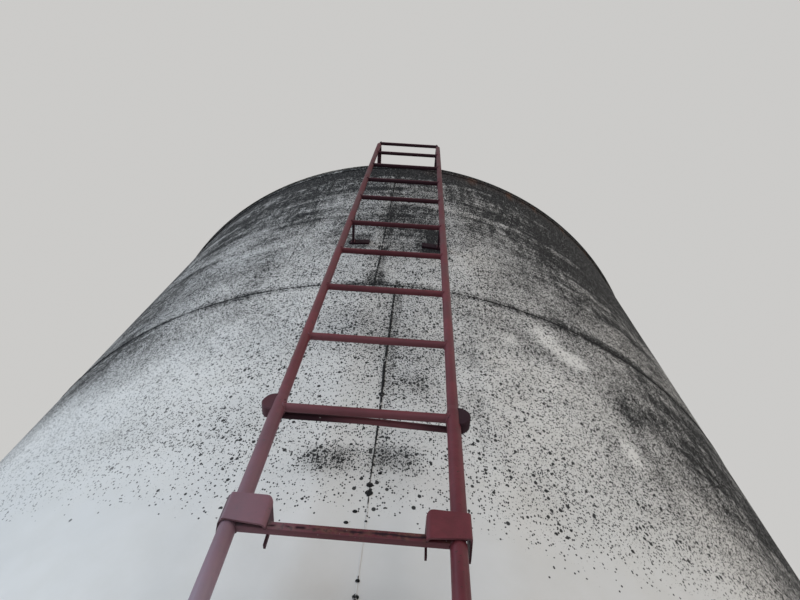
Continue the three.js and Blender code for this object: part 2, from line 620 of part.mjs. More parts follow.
// Roof ladder: two rails above the roof's slope, rungs, and short feet that stand on the sheet
function makeRoofLadder() {
  const { low, high, lift, endToRung, radius, rungRadius, footStep, footRadius } = {
    low: 1480, high: 420, lift: 70, endToRung: 60, radius: 10.5, rungRadius: 8.5, footStep: 3, footRadius: 8,
  };
  const at = (r) => roofTop(r) + lift;
  const parts = [-1, 1].map((side) => {
    const x = side * RAIL_HALF_SPACING;
    return bar([x, -low, at(low)], [x, -high, at(high)], radius);
  });
  const run = RUNG_STEP * Math.cos(THREE.MathUtils.degToRad(ROOF_SLOPE));
  const count = Math.floor((low - high) / run);
  for (let i = 0; i <= count; i++) {
    const r = low - endToRung - i * run;
    parts.push(bar([-RAIL_HALF_SPACING, -r, at(r)], [RAIL_HALF_SPACING, -r, at(r)], rungRadius));
    if (i % footStep === 0) {
      for (const side of [-1, 1]) {
        const x = side * RAIL_HALF_SPACING;
        parts.push(bar([x, -r, roofUnder(r) - lift], [x, -r, at(r)], footRadius));
      }
    }
  }
  addPiece('roof_ladder', geometryOf(joined(parts).subtract(roofBody)), maroonPaint());
}

makeBaseRing();
makeLegs();
makeHopperRing();
makeHopper();
makeOutlet();
makeWall();
makeEaveRing();
makeRoof();
makeFillTop();
makeUpperLadder();
makeLadderReturn();
makeSplice();
makeMiddleRails();
makeSockets();
makeLowerLadder();
makeStandoffs();
makeRoofLadder();

export default bin;
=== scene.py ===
"""Hopper bottom grain bin: mildewed sheets, welds, legs and a worn maroon ladder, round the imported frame.

Metres. +Z is up, the ladder stands at the front (-Y), and angles run in degrees from the front to +X.
"""

import bmesh
import bpy
import numpy as np
from mathutils import Matrix, Vector


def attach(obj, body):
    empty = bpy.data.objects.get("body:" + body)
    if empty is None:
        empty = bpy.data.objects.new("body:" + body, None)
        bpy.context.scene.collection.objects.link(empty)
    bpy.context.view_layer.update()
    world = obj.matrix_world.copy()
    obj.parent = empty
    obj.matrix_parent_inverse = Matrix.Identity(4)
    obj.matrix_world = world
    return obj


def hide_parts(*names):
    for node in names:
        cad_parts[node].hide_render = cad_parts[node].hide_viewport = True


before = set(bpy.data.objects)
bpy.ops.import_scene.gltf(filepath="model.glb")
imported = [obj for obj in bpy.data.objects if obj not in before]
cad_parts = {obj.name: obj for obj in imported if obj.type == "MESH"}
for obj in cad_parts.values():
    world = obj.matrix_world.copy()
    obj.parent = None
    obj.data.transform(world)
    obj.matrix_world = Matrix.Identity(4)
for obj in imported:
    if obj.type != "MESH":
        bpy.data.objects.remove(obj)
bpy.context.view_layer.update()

# The bin's sizes, as the frame has them
WALL_R = 1.829
WALL_T = 0.003
JOINT_Z = 1.893
SEAM_Z = 3.786
EAVE_Z = 5.679
HOPPER_SLOPE = np.radians(40)
HOPPER_THROUGH = 0.004 / np.cos(HOPPER_SLOPE)    # a sheet's thickness, measured upright
ROOF_SLOPE = np.radians(30)
ROOF_THROUGH = 0.003 / np.cos(ROOF_SLOPE)
ROOF_EDGE_R = 1.844
OUTLET_R = 0.18
FILL_R = 0.25
GAP = 0.0003
LEG_R = 1.8863
LADDER_Y = -1.949
RAIL_X = 0.197
THIN_RAIL = 0.01335
THICK_RAIL = 0.0154
LOWER_LADDER_X = {-1: -0.205, 1: 0.1938}
RUNG = 0.0105
SPLICE_Z = 2.833
THICK_RAIL_TOP = 2.846
FLARE_TOP = 2.873
FLAT_RUNG_Z = 2.489
FLAT_RUNG_TOP = 2.500
RETURN_RUNG_Z = 5.811
UPPER_RUNG_HEIGHTS = [3.159, 3.485, 3.811, 4.137, 4.520, 4.855, 5.190, 5.525]
LOWER_RUNG_HEIGHTS = [2.159, 1.833, 1.507, 1.181, 0.855, 0.529]
THIRDS = range(3)
SIDE_NAMES = {-1: "left", 1: "right"}


# ---- Camera ----

def camera_axes(pitch, roll, turn):
    """The view's right, up and forward. Forward is the front direction +Y raised by the pitch and turned
    about the upright; right and up are then rolled about it."""
    forward = np.array([np.sin(turn) * np.cos(pitch), np.cos(turn) * np.cos(pitch), np.sin(pitch)])
    level = np.array([np.cos(turn), -np.sin(turn), 0.0])
    right = np.cos(roll) * level + np.sin(roll) * np.cross(level, forward)
    return right, np.cross(right, forward), forward


def make_camera():
    """At eye height and less than a metre from the wall, looking steeply up along it."""
    right, up, forward = camera_axes(pitch=1.115935, roll=0.104067, turn=-0.041688)
    camera = bpy.data.objects.new("camera", bpy.data.cameras.new("camera"))
    camera.data.sensor_width = 36
    camera.data.lens = 26.611
    axes = Matrix([[right[i], up[i], -forward[i]] for i in range(3)]).to_4x4()
    camera.matrix_world = Matrix.Translation((0.08423, -2.76353, 1.754)) @ axes
    bpy.context.scene.collection.objects.link(camera)
    bpy.context.scene.camera = camera


make_camera()


# ---- Whole-array helpers ----

def smooth(low, high, value):
    """0 below low, 1 above high, and the curve 3t^2 - 2t^3 between them."""
    t = np.clip((value - low) / (high - low), 0, 1)
    return t * t * (3 - 2 * t)


def within(low, high, edge, value):
    """1 between low and high, falling smoothly to 0 over an edge's width round each."""
    return smooth(low - edge, low + edge, value) * (1 - smooth(high - edge, high + edge, value))


def patchy(angle, height, across, up, seed):
    """Noise round the bin from -1 to 1: random numbers on a lattice, across metres apart round the wall
    and up metres apart in height, joined by smooth curves and closing on itself after one turn."""
    columns = round(2 * np.pi * WALL_R / across)
    rows = int(8 / up) + 3
    lattice = np.random.default_rng(seed).uniform(-1, 1, (rows, columns))
    a, h = (angle / 360 % 1) * columns, height / up
    i, j = np.floor(a).astype(int), np.floor(h).astype(int)
    s, t = smooth(0, 1, a - i), smooth(0, 1, h - j)
    low, high = (lattice[row % rows, i % columns] * (1 - s) + lattice[row % rows, (i + 1) % columns] * s
                 for row in (j, j + 1))
    return low * (1 - t) + high * t


def points_at(x, y, z):
    """Points, with a number or an array for each coordinate."""
    return np.stack(np.broadcast_arrays(x, y, z), -1).astype(float)


def round_bin(radius, angle, z):
    """Points at a radius, an angle from the front and a height."""
    a = np.radians(angle)
    return points_at(radius * np.sin(a), -radius * np.cos(a), z)


class Shells:
    """Closed shells gathered into one mesh. Each is a grid of points whose columns go round a closed
    outline and whose rows run along it, either back to the first row or to two ends that are capped."""

    def __init__(self):
        self.points, self.faces, self.fields, self.count = [], [], {}, 0

    def add(self, grid, loop=False, **fields):
        """Adds one shell, its faces turned outwards. A field is a number or a function of the points."""
        rows, columns = grid.shape[:2]
        i, j = np.meshgrid(np.arange(rows if loop else rows - 1), np.arange(columns), indexing="ij")
        here, there, j2 = i * columns, (i + 1) % rows * columns, (j + 1) % columns
        quads = np.stack([here + j, here + j2, there + j2, there + j], -1).reshape(-1, 4)
        points, triangles = grid.reshape(-1, 3), np.zeros((0, 3), int)
        if not loop:
            k, middle = np.arange(columns), np.full(columns, rows * columns)
            k2, final = (k + 1) % columns, (rows - 1) * columns
            triangles = np.concatenate([np.stack([k2, k, middle], -1),
                                        np.stack([final + k, final + k2, middle + 1], -1)])
            points = np.concatenate([points, grid[[0, -1]].mean(1)])
        corners = np.concatenate([triangles, quads[:, [0, 1, 2]], quads[:, [0, 2, 3]]])
        a, b, c = (points[corners[:, n]] - points.mean(0) for n in range(3))
        if (a * np.cross(b, c)).sum() < 0:
            quads, triangles = quads[:, ::-1], triangles[:, ::-1]
        self.faces += (quads + self.count).tolist() + (triangles + self.count).tolist()
        for name in sorted(set(self.fields) | set(fields)):
            value = fields.get(name, 0.0)
            value = value(points) if callable(value) else np.full(len(points), value)
            self.fields.setdefault(name, [np.zeros(self.count)]).append(value)
        self.points.append(points)
        self.count += len(points)
        return self

    def turned(self, degrees):
        """Turns what is there about the bin's axis, from the front towards +X."""
        c, s = np.cos(np.radians(degrees)), np.sin(np.radians(degrees))
        self.points = [points @ np.array([[c, s, 0], [-s, c, 0], [0, 0, 1]]) for points in self.points]
        return self

    def make(self, name, finish, replaced=None, merge=False):
        """Puts the shells into one smooth-shaded mesh with creases, which rides on the bin and may replace
        a node. A finish is a material and the record's slot for it; the slot is not used."""
        mesh = bpy.data.meshes.new(name)
        mesh.from_pydata(np.concatenate(self.points).tolist(), [], self.faces)
        for field, values in self.fields.items():
            attribute = mesh.attributes.new(field, "FLOAT", "POINT")
            attribute.data.foreach_set("value", np.concatenate(values).astype(np.float32))
        if merge:
            rough = bmesh.new()
            rough.from_mesh(mesh)
            bmesh.ops.remove_doubles(rough, verts=rough.verts, dist=1e-6)
            rough.to_mesh(mesh)
            rough.free()
        mesh.shade_smooth()
        mesh.set_sharp_from_angle(angle=np.radians(35))
        material, slot = finish
        mesh.materials.append(material)
        made = bpy.data.objects.new(name, mesh)
        bpy.context.scene.collection.objects.link(made)
        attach(made, "root")
        if replaced:
            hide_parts(replaced)


def circle(radius, sides=24, squash=1.0):
    """Outline of a round section as (across, up) pairs."""
    a = np.arange(sides) / sides * 2 * np.pi
    return np.stack([radius * np.cos(a), radius * squash * np.sin(a)], -1)


def rounded_rectangle(half_width, half_height, radius, steps=4):
    """Outline of a rectangle with round corners: at each corner a quarter circle about a point set in by the
    radius."""
    quarter = np.linspace(0, np.pi / 2, steps)
    turns = np.concatenate([quarter + n * np.pi / 2 for n in range(4)])
    corners = np.repeat([[1, 1], [-1, 1], [-1, -1], [1, -1]], steps, axis=0)
    middles = corners * (np.array([half_width, half_height]) - radius)
    return middles + radius * np.stack([np.cos(turns), np.sin(turns)], -1)


def swept(path, outline, side, scale=None):
    """An outline carried along a path: point + across * side + up * (tangent x side), times a scale along the
    way."""
    path = np.asarray(path, float)
    tangent = np.gradient(path, axis=0)
    tangent /= np.linalg.norm(tangent, axis=1, keepdims=True)
    side = np.broadcast_to(np.asarray(side, float), path.shape)
    up = np.cross(tangent, side)
    grow = np.ones(len(path)) if scale is None else np.asarray(scale, float)
    across = outline[None, :, 0, None] * side[:, None]
    return path[:, None] + grow[:, None, None] * (across + outline[None, :, 1, None] * up[:, None])


def beside(axis):
    """A direction of length 1 at right angles to an axis."""
    side = np.cross(axis, [0, 0, 1] if abs(axis[2]) < 0.9 else [1, 0, 0])
    return side / np.linalg.norm(side)


ROUNDING = 0.0012    # over which the ends of bars and plates are drawn in


def bar(start, end, radius, sides=24, rings=2):
    """A round bar between two points, its ends drawn in over a small rounding."""
    start, end = np.asarray(start, float), np.asarray(end, float)
    length = np.linalg.norm(end - start)
    along = np.concatenate([[0], np.linspace(ROUNDING, length - ROUNDING, rings), [length]])
    direction = (end - start) / length
    scale = np.ones(len(along))
    scale[[0, -1]] = 1 - ROUNDING / radius
    return swept(start + along[:, None] * direction, circle(radius, sides), beside(direction), scale)


def upright(outline, heights, insets, middle):
    """An outline carried up through some heights and drawn in by an inset at each."""
    scale = 1 - np.asarray(insets)[:, None, None] / outline.max(0)
    grid = np.empty((len(heights), len(outline), 3))
    grid[..., :2] = middle + outline * scale
    grid[..., 2] = np.asarray(heights)[:, None]
    return grid


def slab(low, high, corner=0.002):
    """A plate between two corners: a rectangle with round corners carried up."""
    low, high = np.asarray(low, float), np.asarray(high, float)
    half, middle = (high - low) / 2, (high + low) / 2
    outline = rounded_rectangle(half[0], half[1], min(corner, half[0] * 0.9, half[1] * 0.9))
    heights = [low[2], low[2] + ROUNDING, high[2] - ROUNDING, high[2]]
    return upright(outline, heights, [ROUNDING, 0, 0, ROUNDING], middle[:2])


def ring_strip(profile, start, sweep, steps):
    """A closed outline of (radius, height) points carried round the bin from one angle over a sweep."""
    radius, height = np.asarray(profile, float).T
    return round_bin(radius, start + np.linspace(0, sweep, steps)[:, None], height)


def full_ring(profile, steps=96):
    """A closed outline of (radius, height) points turned once round the bin's axis."""
    return ring_strip(profile, 0, 360 * (1 - 1 / steps), steps)


def weld_ring(centre, axis, radius, size, seed, saddle):
    """A lumpy fillet round a bar where it meets another: a circle of the bar's radius whose points lie
    back along the axis by saddle - sqrt(saddle^2 - (radius cos a)^2), with a small round section that
    swells at random."""
    axis = np.asarray(axis, float)
    u = beside(axis)
    v = np.cross(axis, u)
    a = np.arange(28) / 28 * 2 * np.pi
    rng = np.random.default_rng(seed)
    swell = size * (1 + 0.18 * np.sin(5 * a + rng.uniform(0, 6)) + 0.15 * np.sin(9 * a + rng.uniform(0, 6)))
    back = saddle - np.sqrt(saddle ** 2 - (radius * np.cos(a)) ** 2)
    out = np.cos(a)[:, None] * u + np.sin(a)[:, None] * v
    b = np.arange(8) / 8 * 2 * np.pi
    reach = radius + swell[:, None] * (0.35 + 0.65 * np.cos(b))
    along = swell[:, None] * 0.8 * np.sin(b) - back[:, None]
    return np.asarray(centre, float) + reach[..., None] * out[:, None] + along[..., None] * axis


def bead_along(path, outward, width, height, seed, closed=False):
    """A flat weld bead on a surface: a low half-round section carried along a path, its width and height
    swelling with random numbers smoothed along the way."""
    rng = np.random.default_rng(seed)
    count = len(path)
    rough = np.convolve(rng.uniform(-1, 1, count + 4), [0.2, 0.6, 1, 0.6, 0.2], "same")[2:-2]
    tangent = np.roll(path, -1, 0) - np.roll(path, 1, 0) if closed else np.gradient(path, axis=0)
    tangent /= np.linalg.norm(tangent, axis=1, keepdims=True)
    outward = np.broadcast_to(np.asarray(outward, float), path.shape)
    across = np.cross(tangent, outward)
    a = np.linspace(0, np.pi, 6)
    outline = np.concatenate([np.stack([np.cos(a), np.sin(a)], -1), [[-0.9, -0.5], [0.9, -0.5]]])
    width, height = ((np.broadcast_to(size, count) * (1 + 0.16 * rough))[:, None] for size in (width, height))
    return (path[:, None] + (outline[:, 0] * width / 2)[..., None] * across[:, None]
            + (outline[:, 1] * height)[..., None] * outward[:, None])


def hexagon_head(centre, axis, across_flats, height):
    """A bolt head: a six-sided outline carried along its axis, drawn in at the outer end."""
    axis = np.asarray(axis, float)
    path = np.asarray(centre, float) + np.outer([0, 0.85 * height, height], axis)
    return swept(path, circle(across_flats / np.sqrt(3), 6), beside(axis), [1, 1, 0.86])


# ---- Materials ----

class Value:
    """One output of a node: a number, colour or position that changes over the surface. Sums, differences and
    products of numbers make further nodes."""

    def __init__(self, tree, socket):
        self.tree, self.socket = tree, socket

    def output(self, name):
        """Another output of the same node."""
        return Value(self.tree, self.socket.node.outputs[name])

    def math(self, operation, other, clamp=False):
        return node(self.tree, "ShaderNodeMath", {0: self, 1: other}, operation=operation, use_clamp=clamp)

    def __add__(self, other):
        return self.math("ADD", other)

    def __sub__(self, other):
        return self.math("SUBTRACT", other)

    def __mul__(self, other):
        return self.math("MULTIPLY", other)

    def ramp(self, low, high, out_low=0.0, out_high=1.0):
        """A smooth change of the number from low to high into out_low to out_high."""
        ends = {"From Min": low, "From Max": high, "To Min": out_low, "To Max": out_high}
        return node(self.tree, "ShaderNodeMapRange", {"Value": self, **ends}, interpolation_type="SMOOTHSTEP")

    def xyz(self):
        """The three coordinates of a position or direction."""
        split = node(self.tree, "ShaderNodeSeparateXYZ", {0: self})
        return [split.output(name) for name in "XYZ"]


def feed(tree, socket, value):
    """Links a value to a socket, or sets a constant on it."""
    if isinstance(value, Value):
        tree.links.new(value.socket, socket)
    elif socket.type == "RGBA":
        socket.default_value = (*value, 1)
    else:
        socket.default_value = value


def node(tree, kind, values=None, output=0, **settings):
    """A shader node with its settings and inputs, of which one output is returned."""
    made = tree.nodes.new(kind)
    for key, value in settings.items():
        setattr(made, key, value)
    for key, value in (values or {}).items():
        feed(tree, made.inputs[key], value)
    return Value(tree, made.outputs[output])


def layered(colour, *coats):
    """A colour with coats laid over it in turn. Each has an amount from 0 to 1 and its own colour."""
    for amount, coat in coats:
        colour = node(amount.tree, "ShaderNodeMix", {0: amount, 6: colour, 7: coat}, 2, data_type="RGBA")
    return colour


def noise(at, scale, detail, roughness=0.5, distortion=0.0):
    values = {"Scale": scale, "Detail": detail, "Roughness": roughness, "Distortion": distortion}
    return node(at.tree, "ShaderNodeTexNoise", {"Vector": at, **values})


def stretched(at, scale):
    return node(at.tree, "ShaderNodeMapping", {"Vector": at, "Scale": scale})


def field(tree, name):
    return node(tree, "ShaderNodeAttribute", output="Fac", attribute_name=name)


def make_group(name, inputs, output, build):
    """A shader node group whose inputs are a position and named numbers, and whose output is worked out by
    build. The function that is returned places it at a position with its own numbers."""
    group = bpy.data.node_groups.new(name, "ShaderNodeTree")
    group.interface.new_socket("Position", in_out="INPUT", socket_type="NodeSocketVector")
    for number in inputs:
        group.interface.new_socket(number, in_out="INPUT", socket_type="NodeSocketFloat")
    group.interface.new_socket(output, in_out="OUTPUT", socket_type="NodeSocketFloat")
    entry, leave = group.nodes.new("NodeGroupInput"), group.nodes.new("NodeGroupOutput")
    given = [Value(group, entry.outputs[socket]) for socket in ("Position", *inputs)]
    feed(group, leave.inputs[output], build(*given))

    def place(at, *numbers):
        values = {"Position": at, **dict(zip(inputs, numbers))}
        return node(at.tree, "ShaderNodeGroup", values, node_tree=group)

    return place


def build_specks(at, scale, density, softness):
    """Noise cut off at a height that falls as the density rises, so that specks grow, join and cover."""
    over = noise(at, scale, 3.0, 0.6, 0.3) - (density * -0.36 + 0.72)
    return over.ramp(softness * -1.0, softness) * density.ramp(0.0, 0.1)


def build_spots(at, scale, density, size):
    """Single round spots: cells whose random number is low hold a spot, of a radius that is random too."""
    warp = noise(at, 160.0, 2.0).output("Color")
    place = node(at.tree, "ShaderNodeVectorMath", {0: warp, 1: (0.006,) * 3, 2: at}, operation="MULTIPLY_ADD")
    distance = node(at.tree, "ShaderNodeTexVoronoi", {"Vector": place, "Scale": scale}, "Distance")
    chance = node(at.tree, "ShaderNodeSeparateColor", {"Color": distance.output("Color")}, "Red")
    radius = chance.output("Green").math("POWER", 2.0) * size + size * 0.35
    return chance.math("LESS_THAN", density) * (radius - distance).ramp(-0.03, 0.04)


def build_dots(at, scale, density, size):
    """Round dots set close together: cells whose random number is low hold a dot. A dot is a ball about the
    cell's point, so the surface cuts it anywhere and the dots come out in all sizes."""
    distance = node(at.tree, "ShaderNodeTexVoronoi", {"Vector": at, "Scale": scale}, "Distance")
    chance = node(at.tree, "ShaderNodeSeparateColor", {"Color": distance.output("Color")}, "Red")
    return chance.math("LESS_THAN", density) * (size - distance).ramp(-0.04, 0.05)


def build_drift(at, scale):
    """Slow changes of tone, from 0 to 1."""
    return noise(at, scale, 4.0, 0.55).ramp(0.3, 0.7)


specks = make_group("mildew specks", ["Scale", "Density", "Softness"], "Mask", build_specks)
spots = make_group("single spots", ["Scale", "Density", "Size"], "Mask", build_spots)
dots = make_group("mildew dots", ["Scale", "Density", "Size"], "Mask", build_dots)
drift = make_group("drift of tone", ["Scale"], "Value", build_drift)


def new_material(name, specular=0.5):
    """A material with its shader's inputs, its tree and its object coordinates."""
    material = bpy.data.materials.new(name)
    material.use_nodes = True
    tree = material.node_tree
    inputs = tree.nodes["Principled BSDF"].inputs
    inputs["Specular IOR Level"].default_value = specular
    return material, inputs, tree, node(tree, "ShaderNodeTexCoord", output="Object")


def bump(height, strength, distance):
    values = {"Height": height, "Strength": strength, "Distance": distance}
    return node(height.tree, "ShaderNodeBump", values)


def drawn_out(at):
    """The place with its height z changed to 0.88 z - 0.09 (z - 2.4)^2, so that what is made there lies
    drawn out upright, the more the higher up."""
    x, y, z = at.xyz()
    above = z - 2.4
    height = z * 0.88 - above * above * 0.09
    return node(at.tree, "ShaderNodeCombineXYZ", {"X": x, "Y": y, "Z": height})


def white_paint():
    """Chalky white paint. The sheets' own mildew field sets how thick the specks are, which are drawn out
    upright; a film of grime joins them where they are thickest, and rust tints come from the rust field."""
    material, inputs, tree, at = new_material("white_paint_mildewed", specular=0.11)
    x, _, z = at.xyz()
    mildew, rust = field(tree, "mildew"), field(tree, "rust")
    tone, small_tone = drift(at, 1.7), drift(at, 14.0)
    tall, level = stretched(at, (1.0, 1.0, 0.3)), stretched(at, (0.12, 0.12, 1.0))
    patches = (drift(tall, 30.0) - 0.5) * 0.30 + (drift(level, 24.0) - 0.5) * 0.32
    growth = mildew + patches * mildew.ramp(0.5, 0.9)
    film = growth.ramp(0.27, 1.0, 0.0, 0.90).math("MULTIPLY", small_tone * 0.5 + 0.7, clamp=True)
    clotted = drift(tall, 75.0) * growth.ramp(0.85, 1.2, 1.0, 0.35)
    growth = growth.math("MINIMUM", 0.92)
    upright_place = drawn_out(at)
    # clear is 1 away from the painted haze. Low on the far left it falls, and the black specks and spots are
    # painted fainter there, as if washed out by glare.
    clear = x.ramp(-0.8, -0.2, 0.3, 1.0).math("MAXIMUM", z.ramp(3.1, 3.9, 0.3, 1.0))    # of haze
    fine = specks(upright_place, 280.0, growth - 0.12, 0.03)
    black_specks = specks(upright_place, 180.0, growth - 0.17, 0.02)
    for more in (specks(upright_place, 90.0, growth - 0.33, 0.02),
                 spots(upright_place, 38.0, mildew.ramp(0.0, 0.45, 0.0, 0.12) * clear, 0.17),
                 dots(upright_place, 210.0, growth.ramp(0.08, 0.65, 0.0, 0.55), 0.48),
                 dots(upright_place, 84.0, growth.ramp(0.12, 0.75, 0.0, 0.28) * clear, 0.40)):
        black_specks = black_specks.math("MAXIMUM", more)
    black = layered((0.007, 0.007, 0.008), (small_tone, (0.022, 0.022, 0.023)))
    colour = layered(
        (0.64, 0.63, 0.62),
        (tone, (0.70, 0.68, 0.66)),
        (small_tone * 0.15, (0.52, 0.50, 0.45)),
        (film, layered((0.020, 0.020, 0.023), (clotted, (0.115, 0.112, 0.112)))),
        (fine * 0.72, black),
        (black_specks * clear.ramp(0.3, 1.0, 0.72, 0.95), black),
        (rust * 0.55, layered((0.30, 0.12, 0.05), (tone, (0.17, 0.06, 0.028)))),
    )
    feed(tree, inputs["Base Color"], colour)
    feed(tree, inputs["Roughness"], black_specks.ramp(0.0, 1.0, 0.45, 0.9))
    feed(tree, inputs["Normal"], bump(noise(at, 260.0, 2.0) * 0.3 + black_specks * 0.35, 0.25, 0.0008))
    return material


def maroon_paint():
    """Brushed maroon paint, faded in patches. The wear field bares red-brown undercoat where feet and
    hands rub, small chips show pale primer, and rust pits are dark. Low on the left a pale painted haze
    stands in for glare, and low down the undersides are lightened with painted light bounced from the
    ground. High up the paint is darkened with painted shade, most on its undersides; what the grime field
    covers is black, with dirt in some places and as painted shade in others."""
    material, inputs, tree, at = new_material("maroon_paint_worn", specular=0.18)
    x, _, z = at.xyz()
    facing_up = node(tree, "ShaderNodeNewGeometry", output="Normal").xyz()[2]
    wear, grime = field(tree, "wear"), field(tree, "grime")
    tone, small_tone = drift(at, 9.0), drift(at, 70.0)
    rubbed = (wear + (small_tone - 0.5) * 0.7).ramp(0.45, 0.9)
    pits = specks(at, 130.0, wear * 0.3 + 0.12, 0.03)
    chips = spots(at, 110.0, wear.ramp(0.25, 0.85, 0.0, 0.42), 0.2)
    # Low on the left the paint is lightened to a pale grey-purple: a painted haze that stands in for glare.
    painted_haze = x.ramp(-0.02, -0.2) * z.ramp(3.1, 2.3) * z.ramp(2.48, 2.30, 0.40, 0.68) * x.ramp(-0.5, -0.3)
    # Low down the undersides are lightened: painted light, as if bounced up from the ground.
    painted_bounce_light = facing_up.ramp(0.1, -0.7) * z.ramp(3.9, 3.0, 0.0, 0.45)
    # High up the paint is darkened, most on undersides: painted shade. Added to the grime field, it gives the
    # darkening that the colour and roughness use.
    painted_shade_high_up = facing_up.ramp(0.1, -0.6, 0.35, 1.0) * z.ramp(3.1, 4.9, 0.0, 0.95)
    dirt_and_shade = grime.math("ADD", painted_shade_high_up, clamp=True)
    colour = layered(
        (0.098, 0.017, 0.025),
        (tone, (0.152, 0.031, 0.040)),
        (small_tone * 0.3, (0.07, 0.02, 0.022)),
        (rubbed * 0.75, (0.13, 0.055, 0.04)),
        (pits * 0.8, (0.045, 0.022, 0.018)),
        (painted_haze, (0.33, 0.27, 0.33)),
        (painted_bounce_light, (0.19, 0.085, 0.10)),
        (dirt_and_shade, (0.020, 0.006, 0.011)),
        (chips * 0.6, (0.30, 0.26, 0.25)),
    )
    rough = (tone + rubbed) * 0.16 + dirt_and_shade * 0.3
    height = noise(at, 190.0, 3.0) - pits.math("MAXIMUM", chips) * 0.6
    feed(tree, inputs["Base Color"], colour)
    feed(tree, inputs["Roughness"], rough.math("ADD", 0.36, clamp=True))
    feed(tree, inputs["Normal"], bump(height, 0.3, 0.0007))
    return material


def bare_steel():
    """Plate steel rubbed bright by sliding, with rust freckles."""
    material, inputs, tree, at = new_material("gate_steel_rubbed")
    scratches = noise(stretched(at, (1.0, 0.06, 1.0)), 380.0, 3.0)
    rust = specks(at, 60.0, drift(at, 16.0) * 0.75, 0.06)
    steel = layered((0.30, 0.30, 0.30), (scratches, (0.52, 0.52, 0.51)), (rust * 0.8, (0.17, 0.07, 0.03)))
    feed(tree, inputs["Base Color"], steel)
    feed(tree, inputs["Metallic"], rust.ramp(0.0, 1.0, 0.85, 0.1))
    feed(tree, inputs["Roughness"], scratches.ramp(0.2, 0.8, 0.32, 0.55))
    feed(tree, inputs["Normal"], bump(scratches, 0.15, 0.0004))
    return material


def pale_floor():
    """A plain pale floor with a faint drift of tone."""
    material, inputs, tree, at = new_material("pale_floor", specular=0.2)
    feed(tree, inputs["Base Color"], layered((0.60, 0.60, 0.59), (drift(at, 0.4), (0.64, 0.64, 0.63))))
    inputs["Roughness"].default_value = 0.7
    return material


WHITE, MAROON, STEEL = white_paint(), maroon_paint(), bare_steel()
WALL, FRAME, LADDER = (WHITE, "wall_paint"), (MAROON, "frame_paint"), (MAROON, "ladder_paint")


# ---- Where mildew, rust and wear lie ----

SIDE_ANGLE, SIDE_FADE = 72, 22    # a stain that reaches this angle fades out slowly there
# left and right angle, bottom and top height, how softly the sides and the other two edges fade, amount
STAINS = [
    (-8.5, 72, 5.44, 5.72, 2, 0.05, 0.40),        # black band under the eave
    (-72, -8.5, 5.50, 5.72, 3, 0.07, 0.25),
    (-72, -16, 4.38, 4.57, 3, 0.05, 0.09),        # bands on the upper left
    (-72, -12, 4.58, 5.60, 5, 0.12, 0.05),
    (-72, -32, 3.45, 4.60, 9, 0.30, 0.17),
    (-72, -12, 3.45, 4.25, 8, 0.25, 0.12),
    (-72, -22, 4.70, 5.00, 4, 0.07, 0.08),
    (-72, -4, 5.08, 5.30, 3, 0.07, 0.13),
    (-22, 1, 5.11, 5.17, 3, 0.03, 0.14),
    (-1.7, 6, 4.34, 4.46, 0.8, 0.03, 0.14),       # behind the ladder, about the stand-offs
    (-1.7, 6, 4.62, 4.80, 0.8, 0.04, 0.12),
    (-6.9, -3.6, 4.18, 4.34, 0.6, 0.04, 0.28),
    (2.8, 7.0, 4.12, 4.28, 0.8, 0.05, 0.30),
    (4.0, 7.0, 4.16, 4.48, 0.8, 0.05, 0.26),
    # The next row darkens the right side: thicker mildew, and partly painted shade.
    (16, 72, 4.10, 5.5, 8, 0.35, 0.19),           # the darker right
    (24, 44, 4.13, 4.21, 3.5, 0.03, 0.17),
    (28, 72, 3.55, 3.82, 6, 0.1, 0.16),
    (26, 72, 2.9, 3.6, 10, 0.25, 0.24),
    (13, 72, 3.25, 4.2, 9, 0.3, 0.10),
    (33, 72, 2.45, 3.6, 6, 0.2, 0.12),
    (10, 72, 2.49, 2.85, 7, 0.10, 0.06),
    (30, 72, 4.6, 5.75, 6, 0.3, 0.14),
    (16, 72, 3.74, 3.85, 7, 0.04, 0.12),
    (-4.6, -0.3, 2.775, 2.86, 1.6, 0.035, 0.30),  # either side of the upright seam, below the splice
    (0.7, 4.2, 2.79, 2.87, 1.4, 0.03, 0.27),
    (1.0, 4.8, 3.09, 3.19, 1.2, 0.05, 0.10),
    (0.6, 1.5, 2.75, 3.78, 0.35, 0.1, 0.12),      # beside the upright seams
    (-2.0, -1.0, 3.79, 5.4, 0.35, 0.1, 0.13),
    (-3.0, -0.6, 3.80, 3.92, 0.8, 0.03, 0.20),
    (-90, 90, 3.765, 3.812, 4, 0.012, 0.14),      # along the level seam
    (25.2, 27.0, 2.9, 3.45, 0.6, 0.1, 0.08),      # drips
    (8.6, 9.6, 2.95, 3.6, 0.4, 0.1, 0.08),
    (17.3, 19.8, 3.56, 3.68, 1.1, 0.04, -0.23),   # wiped clean
    (19.0, 22.6, 3.49, 3.58, 1.2, 0.03, -0.23),
    (23.0, 24.4, 3.05, 3.14, 0.5, 0.03, -0.24),
    (28.4, 30.2, 3.68, 3.76, 0.8, 0.03, -0.14),
    (12.8, 14.3, 3.48, 3.56, 0.5, 0.02, -0.16),
]


def around(points):
    """Angle from the front and height of points."""
    return np.degrees(np.arctan2(points[..., 0], -points[..., 1])), points[..., 2]


